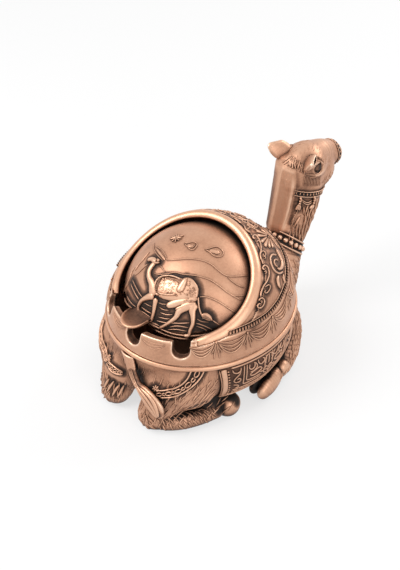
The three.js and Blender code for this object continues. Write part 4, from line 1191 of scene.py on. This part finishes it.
def thumb_tab():
    """The tab as sections from one side to the other, drawn in to its root at both sides."""
    rows = []
    for f in np.linspace(-1, 1, TAB_ROWS):
        a = math.radians(TAB_HALF_ANGLE * f + TAB_TURN)
        reach = 0.12 + 0.88 * math.sqrt(max(1 - (0.985 * f) ** 2, 0)) ** 0.7
        row = [(TAB_ROOT + (r - TAB_ROOT) * reach, z + 0.9 * f * f) for r, z, _ in TAB_SECTION]
        rows.append([(r * math.sin(a), -r * math.cos(a), z) for r, z in row])
    return flipped(loft(rows))


# Painted shade on the tab's upper face, deepest toward the lid.
tab_painted_shade = np.append(np.tile([patina_and_shade for _, _, patina_and_shade in TAB_SECTION], TAB_ROWS), [0, 0])
piece("thumb_tab", *thumb_tab(), PALE, "lid", ("lid_tab",), 0.66, tab_painted_shade)

# Rim bead
RIM_OUT, RIM_Z, RIM_HALF = 0.15, -1.72, (1.25, 1.4)


def rim_bead():
    """A round bead along the bowl's mouth."""
    section = np.arange(14) / 14 * TAU
    rings = []
    for a in np.radians(np.arange(0, 360, 1.5)):
        out = np.array([math.sin(a), -math.cos(a)])
        rad = 1 / math.sqrt((out[0] / BODY[0]) ** 2 + (out[1] / BODY[1]) ** 2)
        r = rad + RIM_OUT + RIM_HALF[0] * np.sign(np.cos(section)) * np.abs(np.cos(section)) ** 0.8
        rings.append(np.stack([out[0] * r, out[1] * r, RIM_Z + RIM_HALF[1] * np.sin(section)], 1))
    return flipped(loft(rings, closed=True))


piece("rim_bead", *rim_bead(), PALE, "base", ("rim_ring",), 0.66)

# Breeching strap: its edges, its chain of medallions (x, y, lean, half length, half width) and a rosette
RIGHT_EDGES = [
    [(1158, 418), (1138, 470), (1106, 530), (1044, 592), (950, 640), (840, 662), (722, 668)],
    [(1310, 420), (1282, 480), (1232, 552), (1150, 628), (1040, 700), (920, 742), (770, 752)],
]
RIGHT_CHAIN = [(1222, 462, 62, 46, 24), (1178, 536, 52, 30, 17), (1118, 596, 42, 42, 22),
               (1060, 640, 32, 22, 14), (1000, 672, 24, 40, 21), (944, 692, 16, 20, 13),
               (886, 702, 8, 40, 21), (826, 710, 2, 20, 13), (770, 712, 0, 32, 18)]
ROSETTE, PETAL, PETALS = (730, 640), (0, 22, 46), 7
LEFT_EDGES = [[(140, 262), (176, 318), (232, 376), (296, 420), (344, 442)],
              [(164, 372), (204, 432), (262, 462), (334, 474)]]
LEFT_CHAIN = [(172, 356, -50, 26, 15), (206, 396, -38, 18, 12), (246, 424, -28, 24, 14),
              (288, 442, -18, 17, 11), (322, 454, -12, 16, 12)]
LEFT_LOCKS = [[(150, 690), (182, 620), (232, 548)], [(206, 730), (252, 650), (300, 590)],
              [(258, 742), (300, 690), (352, 600)], [(120, 640), (140, 580), (176, 520)]]
rear_line = partial(traced, base_outside, AREA_REAR)


def chain(links, count, wide, high):
    """Oval links along a strap."""
    made = []
    for x, y, lean, a, b in links:
        t = np.linspace(0, TAU, count)
        c, s = math.cos(math.radians(lean)), -math.sin(math.radians(lean))
        along, across = a * np.cos(t), b * np.sin(t)
        loop = np.stack([x + along * c - across * s, y + along * s + across * c], 1)
        made.append(rear_line(loop, wide, high))
    return made


def petal(angle):
    """One petal of the rosette at the strap's end."""
    line = [(ROSETTE[0] + r * math.cos(angle), ROSETTE[1] + r * math.sin(angle)) for r in PETAL]
    return rear_line(line, (0.3, 0.5, 0.25), 0.8, taper=(0.3, 0.5))


strap = joined([rear_line(line, 0.5, 0.75) for line in RIGHT_EDGES] + chain(RIGHT_CHAIN, 15, 0.42, 0.75)
               + [petal(TAU * i / PETALS + 0.3) for i in range(PETALS)])
STRAP_MARKS = strap[0]
left_end = joined([rear_line(line, 0.5, 0.75) for line in LEFT_EDGES] + chain(LEFT_CHAIN, 13, 0.4, 0.7)
                  + [rear_line(line, (0.4, 0.9, 0.5), 0.9, taper=(1.5, 2)) for line in LEFT_LOCKS])
piece("breeching_straps", *joined([strap, mirrored(strap), left_end]), COPPER, "base", wear=0.72)

# Tail
tail_strap = limb([(-3.0, -51.2, -3.0, 3.9, 1.7), (-0.6, -52, -8.0, 3.4, 1.6), (2.0, -53, -11.8, 2.7, 1.6),
                   (6.4, -54.4, -14.9, 2.5, 1.5), (11.0, -55.2, -16.8, 2.4, 1.4)], 30, (0.97, 0, 0.26))
tail_tuft = limb([(7.4, -54.7, -15.2, 1.8, 1.5), (12.2, -55.2, -17.0, 3.8, 2.0),
                  (17.2, -55.5, -19.8, 5.0, 2.2), (20.8, -55.4, -23.2, 4.9, 2.1),
                  (22.0, -55.0, -26.4, 3.0, 1.7)], 30, (0.6, 0, 0.8))
TAIL_SHADE = [(3.0, -55, -12.6), (8.4, -57, -15.6), (17, -57.6, -19.8), (21.6, -57.4, -25)]
TUFT_LINE = [(7.0, -56, -15.2), (11.4, -57.0, -16.8), (16.6, -57.4, -19.4), (20.3, -57.2, -23.0),
             (21.8, -56.5, -26.8)]
STRAND_LINE = [(1.0, -54, -9.6), (3.4, -55.4, -12.6), (6.6, -56.2, -14.8), (10.0, -57, -16.2)]


def tail_field(p):
    """Tail with its tuft, cut level under the rim."""
    return both(blend(tail_strap(p), tail_tuft(p), 0.8), p[:, 2] + 3.3, 0.3)


P_TAIL, F_TAIL = skin(tail_field, (-9, -59, -32), (30, -47, -2), 0.4)
# Painted shade along the back of the tail and its tuft.
tail_painted_shade = 0.5 * near(P_TAIL, spline(TAIL_SHADE, 30), 4.2) ** 0.5
piece("tail_core", P_TAIL, F_TAIL, COPPER, "base", ("tail",), relief_of(P_TAIL, F_TAIL), tail_painted_shade)


def tail_locks():
    """Locks of the tuft, and strands on the strap over it."""
    made = []
    bulge = np.sin(np.linspace(0.08, 0.9, 24) * math.pi)[:, None]
    for off, start in ((-1.0, 2), (-0.36, 0), (0.32, 0), (1.0, 2)):
        path = spline(TUFT_LINE, 24) + np.array([0.6, 0, 0.8]) * off * 3.7 * bulge
        made.append(stroke(tail_field, path[start:], (0.4, 0.95, 1.05, 0.6), (0.5, 0.8, 0.7), taper=(2, 2)))
    spread = np.array([1.0, 1.2, 1.2, 1.3])[:, None]
    for off in (-1, -0.33, 0.33, 1):
        path = STRAND_LINE + np.array([0.8, 0, 0.6]) * off * spread
        made.append(stroke(tail_field, path, 0.28, 0.4, taper=(2, 1.5)))
    return joined(made)


piece("tail_hair", *tail_locks(), COPPER, "base", wear=0.66)

# Saddle panels
PANEL_Y, PANEL_Z, PANEL_RISE = (-26.5, 20.5), (-27.2, -2.4), 0.95
PANEL_GRID, PANEL_LEAN, PANEL_DEEP = (90, 44), 4.2, 2.2


def panel_skin(p):
    """Field of the panels' outside."""
    return body_field(p, PANEL_RISE)


def panel_at(y, z):
    """Points of the right panel at distances along and heights."""
    y, z = np.broadcast_arrays(np.asarray(y, float), np.asarray(z, float))
    grown = np.array(BODY) + PANEL_RISE
    rho = (1 - np.abs(z / grown[2]) ** 3) ** (2 / 3) - (y / grown[1]) ** 2
    return np.stack([grown[0] * np.sqrt(np.maximum(rho, 0)), y, z], -1)


def panel_back(y, z):
    """The panel's rear edge leans back towards its top."""
    along = np.clip((PANEL_Y[1] - y) / (PANEL_Y[1] - PANEL_Y[0]), 0, 1)
    high = np.clip((z - PANEL_Z[0]) / (PANEL_Z[1] - PANEL_Z[0]), 0, 1)
    return y - PANEL_LEAN * along ** 2 * high


def panel_low(y):
    """Lower edge of the panel."""
    return PANEL_Z[0] + 1.3 * np.clip((y - 6) / 14, 0, 1) ** 2


def panel_slab():
    """The right panel as a thin slab whose border is tucked in."""
    rows, columns = PANEL_GRID
    ys, vs = np.linspace(*PANEL_Y, rows), np.linspace(0, 1, columns)
    heights = PANEL_Z[1] + (panel_low(ys)[:, None] - PANEL_Z[1]) * vs
    flat = panel_at(panel_back(ys[:, None], heights), heights).reshape(-1, 3)
    normal = facing(panel_skin, flat)
    border = np.ones(PANEL_GRID)
    border[1:-1, 1:-1] = 0
    outer = (flat - normal * (0.45 * border).reshape(-1, 1)).reshape(rows, columns, 3)
    inner = (flat - normal * PANEL_DEEP).reshape(rows, columns, 3)
    return flipped(loft(np.concatenate([outer, inner[:, ::-1]], 1)))


piece("saddle_cloths", *both_flanks([panel_slab()]), DARK, "base",
      ("saddle_panel_left", "saddle_panel_right"), wear=0.30)


def on_panel(rows, wide, high, **more):
    """Strokes through (along, up) stations, measured from the panel's rear lower corner."""
    made = []
    for row in rows:
        r = np.array(row, float)
        y = PANEL_Y[0] + r[:, 0]
        z = panel_low(y) + r[:, 1]
        made.append(stroke(panel_skin, panel_at(panel_back(y, z), z), wide, high, **more))
    return made


# Straight borders of the panel with half width, height and length of the ends
BORDERS = [
    ([(1.9, 0.6), (1.9, 8), (1.9, 16), (1.9, 23.4)], 1.5, 0.55, 0.3),
    ([(0.35, 0.4), (0.35, 12), (0.35, 23.4)], 0.35, 0.6, 1),
    ([(45.6, 1.2), (45.7, 12), (45.6, 23.2)], 1.2, 0.5, 0.3),
    ([(0.4, 0.45), (12, 0.45), (24, 0.45), (36, 0.45), (46.6, 0.45)], 0.5, 0.6, 1),
    ([(4.8, 23.3), (16, 23.3), (28, 23.3), (45.4, 23.3)], 0.5, 0.5, 1),
    ([(5.2, 5.5), (16, 5.35), (28, 5.35), (38, 5.5), (45.0, 5.6)], 0.38, 0.5, 1),
]
SCROLL = [(0, 0), (0.5, 1.2), (1.7, 1.9), (2.9, 1.5), (3.2, 0.5), (2.4, -0.1), (1.8, 0.5), (2.2, 1.0)]
BRANCH = [(0.4, 0.6), (1.1, 1.5), (2.2, 1.7)]
MOTIF = [
    [(0.6, 21.8), (1.2, 19.6), (2.8, 18.6), (4.2, 19.8), (4.4, 21.9)],
    [(4.3, 19.8), (3.6, 17.4), (1.6, 15.0), (0.9, 13.2), (2.0, 11.6), (3.7, 11.8), (4.1, 13.4), (3.0, 14.2),
     (2.3, 13.3)],
    [(0.7, 10.2), (2.2, 9.4), (3.4, 8.2), (3.2, 7.0), (1.8, 6.8)],
    [(6.0, 22.4), (5.7, 16), (5.6, 10.6), (5.8, 8.4), (7.4, 7.9), (12.0, 7.9), (16.0, 7.7)],
    [(7.3, 22.4), (7.1, 16), (7.2, 11.0), (8.6, 9.8), (12.6, 9.6), (16.0, 9.4)],
    [(8.8, 21.6), (8.4, 19.2), (9.4, 17.4), (11.0, 17.8), (11.4, 19.8), (11.0, 21.9)],
    [(11.4, 21.4), (12.6, 18.8), (12.4, 16.6), (10.6, 15.4), (8.9, 15.6)],
    [(8.7, 13.6), (10.6, 12.0), (13.4, 12.2), (15.8, 13.8), (14.2, 15.8), (11.6, 15.6), (9.6, 14.6),
     (8.7, 13.6)],
    [(13.2, 21.9), (13.6, 19.4), (15.2, 17.6), (16.9, 18.6), (17.0, 20.4), (15.8, 21.4)],
    [(17.9, 22.2), (18.3, 19.0), (17.6, 16.4), (17.9, 13.6), (19.0, 11.6)],
    [(14.8, 11.2), (17.0, 11.0), (19.4, 10.4), (20.6, 8.6)],
]
HEART = [(24.8, 7.2), (22.4, 9.0), (21.8, 11.6), (23.2, 13.2), (24.8, 11.8), (26.4, 13.2), (27.8, 11.6),
         (27.2, 9.0), (24.8, 7.2)]
LILY = [[(24.8, 14.4), (24.8, 18), (24.8, 21.6)], [(24.8, 21.6), (22.6, 20.4), (22.0, 17.6), (23.4, 15.8)],
        [(24.8, 21.6), (27.0, 20.4), (27.6, 17.6), (26.2, 15.8)], [(24.8, 10.6), (24.8, 9.4), (24.8, 8.8)]]
# The scroll's height and first place, the teeth's first place and step, where the motif starts
SCROLL_AT, SCROLL_STEP, TOOTH, TOOTH_STEP = (5.4, 3.05), 3.05, [(3.0, 1.0), (4.0, 1.1)], 2.05
MOTIF_AT = ((4.6, 1), (45.0, -1))


def saddle_lines():
    """Borders, teeth, scroll and motifs of the right panel."""
    made = []
    for line, wide, high, end in BORDERS:
        made += on_panel([line], wide, high, taper=(end, end))
    for i in range(11):
        made += on_panel([moved(TOOTH, 0, TOOTH_STEP * i)], 0.42, 0.75, taper=(0.4, 0.4))
    for i in range(13):
        x, z, flip = SCROLL_AT[0] + SCROLL_STEP * i, SCROLL_AT[1], (-1) ** i
        made += on_panel([[(x + a, z + flip * (b - 1.0)) for a, b in SCROLL]], 0.34, 0.42)
        made += on_panel([[(x + a, z - flip * b) for a, b in BRANCH]], 0.32, 0.4)
    for start, flip in MOTIF_AT:
        made += on_panel([[(start + flip * a, b) for a, b in row] for row in MOTIF], 0.42, 0.5)
    return made + on_panel([HEART], 0.42, 0.5) + on_panel(LILY, 0.46, 0.5)


piece("saddle_ornament", *both_flanks(saddle_lines()), COPPER, "base", wear=0.66)

# Hair on the legs and flanks
# Pixels along the clefts between haunch, shank and hoof and on the hoof's top, where shade is painted dark
CLEFT = [
    (178, 414.5), (183, 412), (188, 410), (193, 408), (198, 406), (203, 404), (208, 402), (213, 400),
    (217, 398), (221, 397), (219.5, 401), (220, 406), (220, 411), (231, 396.5), (234.5, 398.5), (237.5, 402),
    (252, 391), (253.5, 388.5), (255.5, 386), (258, 383.5), (260.5, 381), (263, 378.5), (266, 376),
    (275, 362), (278.5, 357),
]
COAT_BACK = -58.8


def seen_both(field, pixels):
    """Points seen at these pixels, and the same of the other flank."""
    p = seen_at(field, pixels)
    return np.vstack([p, p * MIRROR])


def between(v, low, high):
    """Whether values lie between two limits."""
    return (v > low) & (v < high)


def thigh_way(p):
    """Hair on the haunch: down and back, round the strap."""
    back = np.clip((p[:, 1] + 46) / 20, 0, 1)[:, None]
    return np.array([-0.25, -0.45, -0.85]) * (1 - back) + np.array([-0.2, -0.95, -0.5]) * back


x, y, z = P_BASE.T
cleft_shade = near(P_BASE, seen_both(base_outside, CLEFT), 3.4)
free = (x > 0.5) & between(z, -41, -4.5) & (np.linalg.norm(P_BASE / (np.array(BODY) - 1), axis=1) > 1.0)
free &= near(P_BASE, STRAP_MARKS[::4], 2.4) < 0.75
panel_zone = between(y, -29, 23) & (z > -30) & (x > 20)
top_zone = (y < -24) & (z > -9)
rump_zone = (((x - 13) / 9) ** 2 + ((z + 16) / 8) ** 2 < 1) & (y < -40)
haunch_zone = (y < -18) & (z > -34) & ~panel_zone & ~top_zone & ~rump_zone
cannon_zone = (z <= -34) & (y < -28) & (x > 12) & (cleft_shade < 0.35)
cannon_zone &= facing(base_outside, P_BASE)[:, 2] > -0.5
fore_zone = (y > 10) & between(z, -31, -10) & ~panel_zone
# Each coat: where, gap and seed of its locks, their way, length, half width, height, seed and wander
COATS = [
    (haunch_zone, 2.9, 3, thigh_way, 8.0, 0.5, 0.42, 11, 0.14),
    (top_zone, 3.2, 5, (0, -0.1, -1.0), 6.0, 0.34, 0.22, 12, 0.12),
    (cannon_zone, 2.0, 6, (-0.35, -0.4, 1.0), 6.6, 0.5, 0.75, 13, 0.16),
    (fore_zone, 2.0, 8, (0.35, -0.55, -0.8), 5.4, 0.4, 0.4, 14, 0.2),
]
coat = joined([fur(base_outside, scatter(P_BASE, free & zone, gap, seed), *rest)
               for zone, gap, seed, *rest in COATS])
coat[0][:, 1] = np.maximum(coat[0][:, 1], COAT_BACK)
piece("coat_of_hair", *both_flanks([coat]), COPPER, "base", wear=0.6)

# Necklace, halter and nose band
# Half a band's section: along, height, wear, soot
EDGE = [(-1, -0.5, 0.4, 0), (-1, 0.7, 0.66, 0), (-0.92, 1.05, 0.8, 0), (-0.8, 1.0, 0.78, 0),
        (-0.7, 0.55, 0.5, 0.3), (-0.35, 0.42, 0.42, 0.42)]
EDGED = np.array(EDGE + [(-s, t, wear, patina_and_shade) for s, t, wear, patina_and_shade in EDGE[::-1]])
# Each ring: centre, tilt in degrees, half widths, width and thickness
NECK_RING = ([0, 67.4, 1.6], 44, (10.9, 10.9), 7.0, 1.0)
HALTER_RING = ([0, 80.4, 30.9], 16, (11.9, 13.0), 3.3, 0.8)
NOSE_RING = ([0, 105.8, 40.6], 92, (6.3, 7.1), 3.0, 0.5)


def hoop(ring, angles):
    """Points round a ring's middle line, and the direction of its axis."""
    centre, tilt, (half_x, half_y) = ring[:3]
    up = np.array([0, math.sin(math.radians(tilt)), math.cos(math.radians(tilt))])
    fore = np.array([0, up[2], -up[1]])
    none = np.zeros(len(angles))
    rim = np.stack([half_x * np.cos(angles), none, none], 1) + (half_y * np.sin(angles))[:, None] * fore
    return centre + rim, up


def girdle(ring, count=140):
    """A band laid on the neck or the head that it goes round."""
    rim, up = hoop(ring, np.arange(count) / count * TAU)
    width, thick = ring[3:]
    flat = drop(neck_core, np.concatenate([rim + up * s * width / 2 for s in EDGED[:, 0]]), 6, 2.0)
    lift = np.repeat(EDGED[:, 1] * thick, count)
    rows = (flat + facing(neck_core, flat) * lift[:, None]).reshape(len(EDGED), count, 3)
    return loft(np.swapaxes(rows, 0, 1), closed=True)


def beads_on(ring, angles, rise, radius, sides):
    """Round beads along a ring."""
    centres = drop(neck_core, hoop(ring, np.radians(angles))[0], 5, 2.0)
    return balls(centres + facing(neck_core, centres) * rise, radius, sides)


def band_piece(name, node_name, band, trim, trim_wear):
    """A band and its trim as one object."""
    count, points = len(band[0]) // len(EDGED), len(trim[0])
    wear = np.append(np.tile(EDGED[:, 2], count), np.full(points, trim_wear))
    patina_and_shade = np.append(np.tile(EDGED[:, 3], count), np.zeros(points))
    piece(name, *joined([band, trim]), COPPER, "base", (node_name,), wear, patina_and_shade)


collar = girdle(NECK_RING)
piece("necklace_band", *collar, COPPER, "base", ("necklace",), np.tile(EDGED[:, 2], 140),
      np.tile(EDGED[:, 3], 140))
pearls = beads_on(NECK_RING, np.arange(-175, 185, 17.2), 0.7, 1.42, 12)
piece("necklace_beads", *pearls, COPPER, "base", wear=0.82)

halter = girdle(HALTER_RING)
middle, up = hoop(HALTER_RING, np.radians(np.arange(0, 360, 9.0)))
ticks = [stroke(neck_core, [c - up * 0.8, c, c + up * 0.8], 0.34, 0.75, taper=(0.2, 0.2)) for c in middle]
band_piece("halter_strap", "halter_band", halter, joined(ticks), 0.74)
studs = beads_on(NOSE_RING, np.arange(0, 360, 18), 0.3, 0.45, 8)
band_piece("nose_strap", "nose_band", girdle(NOSE_RING, 110), studs, 0.78)

# Tassels of beads under the halter, with a swag between them
TASSEL_BEADS = [
    [(500, 905), (505, 925), (496, 945), (488, 975)], [(668, 890), (672, 910), (668, 935), (660, 965)],
]
TASSEL_ENDS = [
    [(478, 985), (456, 1030), (430, 1066)], [(498, 990), (490, 1034), (478, 1072)],
    [(488, 985), (474, 1030), (456, 1070)], [(655, 985), (636, 1016), (606, 1046)],
    [(668, 985), (656, 1020), (640, 1050)], [(662, 980), (648, 1016), (624, 1050)],
]
TASSEL_SWAG = [
    [(520, 950), (560, 984), (600, 990), (648, 960)], [(516, 930), (560, 960), (604, 964), (650, 935)],
]
head_line = partial(traced, neck_field, AREA_HEAD)
tassels = [beads(neck_field, seen_at(neck_field, enlarged(AREA_HEAD, dots)), (0.72, 0.72, 0.8), sink=0.1)
           for dots in TASSEL_BEADS]
tassels += [head_line(line, (0.5, 0.8, 0.7), 0.9) for line in TASSEL_ENDS]
tassels += [head_line(line, 0.34, 0.5) for line in TASSEL_SWAG]
tassels = both_flanks(tassels)
piece("halter_tassels", *tassels, COPPER, "base", wear=0.74)

# Eyes, lashes and ears
EYE, EYE_HALF = np.array([8.9, 79.8, 47.0]), (2.6, 3.2, 2.7)
EYE_SHADE = EYE + [2.2, 0.8, 0.2]


def eyeball(p):
    """Both eyes."""
    return np.minimum(lump(p, EYE, EYE_HALF), lump(p, EYE * MIRROR, EYE_HALF))


P_EYE, F_EYE = skin(eyeball, (-13, 75, 42), (13, 85, 52), 0.35)
# Painted shade on the outer side of each eye.
eye_painted_shade = 0.3 * np.clip(1 - np.linalg.norm(np.abs(P_EYE) - EYE_SHADE, axis=1) / 2.4, 0, 1)
piece("eyeballs", P_EYE, F_EYE, COPPER, "base", wear=0.35, patina_and_shade=eye_painted_shade)

# Eyelids and cheek lines with half widths; starts and steps of the rows of short hairs
EYE_LINES = [([(590, 405), (640, 372), (700, 362), (760, 392), (796, 430)], 0.34),
             ([(560, 600), (620, 606), (690, 606), (742, 582), (770, 530)], 0.4),
             ([(566, 622), (630, 632), (700, 624)], 0.24),
             ([(700, 432), (736, 424), (764, 450), (772, 500)], 0.34)]
BROW_AT, LASH = (622, 352), [(8, 34), (3, 14), (-2, -10)]
CHEEK_AT, CHEEK_STEP, POLL_AT = (540, 640), 19, (264, 456)
NOSE_HAIRS = [(806, 360, 800, 460), (832, 340, 828, 470), (858, 330, 858, 450), (884, 380, 880, 440),
              (850, 500, 842, 560), (876, 480, 870, 540)]


def face_lines():
    """Eyelids, lashes and the fine hair of the face."""
    made = [head_line(line, wide, 0.55, taper=(2, 2)) for line, wide in EYE_LINES]
    for t in np.arange(10) / 9:
        place = (BROW_AT[0] + 168 * t, BROW_AT[1] + 62 * t ** 1.5 - 12 * math.sin(t * math.pi))
        made.append(head_line(moved(LASH, *place), (0.34, 0.3, 0.12), 0.6, taper=(0.4, 1.0)))
    for i in range(12):
        line = moved([(14, -4 * abs(i - 5)), (4, 50), (-4, 112)], CHEEK_AT[0] + CHEEK_STEP * i, CHEEK_AT[1])
        made.append(head_line(line, (0.2, 0.3, 0.12), 0.28, taper=(1, 2)))
    for i in range(15):
        t = i / 14
        x, y = POLL_AT[0] + 286 * t, POLL_AT[1] + 142 * t + 16 * math.sin(i * 2.3)
        lean, tall = 136 * (1 - t) - 4, 96 + 34 * t
        line = [(x + lean, y - tall), (x + 0.45 * lean, y - 0.5 * tall), (x, y)]
        made.append(head_line(line, (0.2, 0.5, 0.34), (0.25, 0.6, 0.5), taper=(2, 0.8)))
    for x0, y0, x1, y1 in NOSE_HAIRS:
        line = [(x0, y0), ((x0 + x1) / 2 + 4, (y0 + y1) / 2), (x1, y1)]
        made.append(head_line(line, (0.15, 0.26, 0.12), 0.2, taper=(2, 2)))
    return made


piece("eyelids_and_lashes", *both_flanks(face_lines()), COPPER, "base", wear=0.66)

ear_cup = limb([(6.0, 77.8, 50.0, 2.6, 2.3), (8.2, 75.6, 51.6, 4.4, 2.5), (10.8, 72.4, 53.2, 5.2, 2.2),
                (12.8, 69.8, 54.6, 3.6, 1.6), (13.9, 68.4, 55.4, 1.4, 0.8)], 26, (0.35, 0.5, 0.8))
ear_hollow = limb([(10.4, 76.6, 54.2, 1.6, 1.2), (12.8, 73.6, 55.2, 2.6, 1.4), (14.6, 70.6, 56.2, 1.4, 0.9)],
                  8, (0.35, 0.5, 0.8))
EAR_TOP = 57.2


def ear_field(p):
    """Both ears, hollowed and level on top."""
    q = folded(p)
    return both(cut(ear_cup(q), ear_hollow(q), 0.5), p[:, 2] - EAR_TOP, 0.5)


P_EAR, F_EAR = skin(ear_field, (-18, 66, 45), (18, 84, 60), 0.4)
piece("ears_cast", P_EAR, F_EAR, COPPER, "base", ("ear_left", "ear_right"), relief_of(P_EAR, F_EAR))

# Hair of the neck and head
x, y, z = P_NECK.T
upper = (y > 60) & (z > 6)
mane_zone = (y < 70 + 0.12 * (z - 20)) & (np.abs(x) < 6.5) & (z < 52)
WOOL = [
    (upper & between(z, 8.5, 27) & ~mane_zone & (x > 0.1), 2.7, 21, (0.05, -0.25, -1.0), 9.5, 0.62, 0.8, 22,
     0.16, 9),
    (between(z, 33, 39) & between(y, 86, 100) & (x > 2.5), 2.0, 23, (0, -0.2, -1.0), 4.2, 0.3, 0.26, 24, 0.2),
    (between(z, -38, -2) & (y > 46) & (x > 0), 2.6, 25, (0.15, 0.2, -1.0), 8.0, 0.55, 0.5, 26, 0.2),
    ((z > 47) & between(y, 72, 90) & (x > 1.0), 2.4, 27, (0.5, -0.85, 0.1), 4.6, 0.24, 0.16, 28, 0.06),
]
wool = [fur(neck_field, scatter(P_NECK, zone, gap, seed), *rest) for zone, gap, seed, *rest in WOOL]
piece("neck_hair", *both_flanks(wool), COPPER, "base", wear=0.6)

# Castings, darker beside their ornaments, with painted shade in the leg clefts and on the neck
NECK_SHADE = [(297, 174, 0), (296.5, 187, 0), (295, 199, 0), (292.5, 211, 0), (289.5, 223, 0)]
MANE_WEAR = 0.74
strap_marks = np.vstack([STRAP_MARKS, STRAP_MARKS * MIRROR, left_end[0]])
# Darker beside the straps; painted shade in the clefts of the legs.
base_darkening = np.maximum(0.4 * near(P_BASE, strap_marks[::3], 2.2) ** 0.6, 0.72 * cleft_shade ** 0.7)
piece("base_casting", P_BASE, F_BASE, COPPER, "base",
      ("bowl_body", "hind_leg_left", "hind_leg_right", "front_leg_left", "front_leg_right"),
      relief_of(P_BASE, F_BASE), base_darkening)

neck_wear = relief_of(P_NECK, F_NECK)
on_mane = np.clip(1.2 - np.minimum(mane(P_NECK), mane_left(P_NECK)), 0, 1) * (z > 10)
neck_wear += on_mane * (MANE_WEAR + 0.15 * (neck_wear - 0.5) - neck_wear)
bands = np.vstack([collar[0][::3], halter[0][::4], tassels[0][::4]])
# Painted shade along the right edge of the mane.
beside = seen_both(neck_field, spline(NECK_SHADE, 60)[:, :2])
# Painted shade on the left of the neck's back, behind the mane.
back_left_shade = np.clip((-x - 4) / 2.5, 0, 1) * np.clip((z - 4) / 4, 0, 1)
back_left_shade *= np.clip((46 - z) / 4, 0, 1) * np.clip((74 - y) / 3, 0, 1)
# Darker beside the bands; painted shade beside the mane.
neck_darkening = np.maximum(0.34 * near(P_NECK, bands, 2.6), 0.3 * near(P_NECK, beside, 2.0))
piece("neck_and_head", P_NECK, F_NECK, COPPER, "base", ("neck", "head"), neck_wear,
      np.maximum(neck_darkening, 0.24 * back_left_shade))

marks = np.vstack([ORNAMENT_MARKS, ORNAMENT_MARKS * MIRROR])
piece("cover_casting", P_COVER, F_COVER, COPPER, "cover", ("cover_shell", "drapery_band"),
      relief_of(P_COVER, F_COVER), 0.36 * near(P_COVER, marks[::3], 2.6) ** 0.8)
marks = np.vstack([joined(strata)[0][::3], joined(camel)[0][::6]])
piece("lid_dish", P_LID, F_LID, COPPER, "lid", ("lid_cap",), relief_of(P_LID, F_LID),
      0.45 * near(P_LID, marks, 3.0) ** 0.6)

# Rest of the CAD nodes
for name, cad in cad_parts.items():
    if not cad.hide_render:
        for slot in cad.material_slots:
            slot.material = STEEL if ("screw" in name or "washer" in name) else PLAIN


# Floor, light and camera
def seen_rays(tree):
    """1 for rays of the camera, of mirrors and of glass, 0 for scattered light."""
    path = node(tree, "ShaderNodeLightPath").outputs
    rays = path["Is Camera Ray"]
    for ray in ("Is Glossy Ray", "Is Transmission Ray"):
        rays = node(tree, "ShaderNodeMath", {0: rays, 1: path[ray]}, operation="MAXIMUM").outputs[0]
    return rays


WHITE, FLOOR_HALF, FLOOR_PAINT, FLOOR_GLOW, WORLD_LIGHT = (1, 1, 1, 1), 6, (0.9, 0.9, 0.9, 1), 0.66, 0.55
corners = [(x * FLOOR_HALF, y * FLOOR_HALF, 0) for x, y in ((-1, -1), (1, -1), (1, 1), (-1, 1))]
floor_mesh = bpy.data.meshes.new("floor")
floor_mesh.from_pydata(corners, [], [(0, 1, 2, 3)])
floor = bpy.data.objects.new("floor", floor_mesh)
bpy.context.scene.collection.objects.link(floor)
mat = bpy.data.materials.new("floor_white")
mat.use_nodes = True
tree = mat.node_tree
tree.nodes.clear()
share = node(tree, "ShaderNodeMath", {0: seen_rays(tree), 1: FLOOR_GLOW}, operation="MULTIPLY").outputs[0]
paint = node(tree, "ShaderNodeBsdfDiffuse", {"Color": FLOOR_PAINT}).outputs[0]
glow = node(tree, "ShaderNodeEmission", {"Color": WHITE, "Strength": 1.0}).outputs[0]
mix = node(tree, "ShaderNodeMixShader", {"Fac": share, 1: paint, 2: glow}).outputs[0]
node(tree, "ShaderNodeOutputMaterial", {"Surface": mix})
floor_mesh.materials.append(mat)

world = bpy.data.worlds.new("studio")
bpy.context.scene.world = world
world.use_nodes = True
tree = world.node_tree
tree.nodes.clear()
power = node(tree, "ShaderNodeMapRange", {"Value": seen_rays(tree), "To Min": WORLD_LIGHT, "To Max": 1.0})
sky = node(tree, "ShaderNodeBackground", {"Color": WHITE, "Strength": power.outputs["Result"]}).outputs[0]
node(tree, "ShaderNodeOutputWorld", {"Surface": sky})

AIM = (0, 0, 0.05)


def softbox(name, at, size, energy):
    """An area light that looks at the figure."""
    light = bpy.data.lights.new(name, "AREA")
    light.shape = "RECTANGLE"
    light.size, light.size_y = size
    light.energy = energy
    o = bpy.data.objects.new(name, light)
    o.location = at
    o.rotation_euler = (Vector(AIM) - Vector(at)).to_track_quat("-Z", "Y").to_euler()
    bpy.context.scene.collection.objects.link(o)


softbox("key", (-0.35, -0.55, 0.75), (0.5, 0.5), 5.4)
softbox("fill", (0.75, -0.3, 0.45), (0.5, 0.7), 2.0)
softbox("back", (0.2, 0.8, 0.6), (0.6, 0.3), 3.0)

SENSOR = 36.0
camera_data = bpy.data.cameras.new("photo_camera")
camera_data.sensor_fit = "AUTO"
camera_data.sensor_width = SENSOR
camera_data.lens = FOCAL_PX / PHOTO[1] * SENSOR
camera_data.clip_start = 0.01
camera_data.clip_end = 50
camera = bpy.data.objects.new("photo_camera", camera_data)
spot = (CAM_AT + OFFSET) * METRES
camera.matrix_world = Matrix.Translation(Vector(spot)) @ Matrix(
    [list(c) for c in zip(CAM_RIGHT, CAM_UP, CAM_BACK)]).to_4x4()
bpy.context.scene.collection.objects.link(camera)
bpy.context.scene.camera = camera
bpy.context.scene.view_settings.view_transform = "Standard"

bpy.context.view_layer.update()
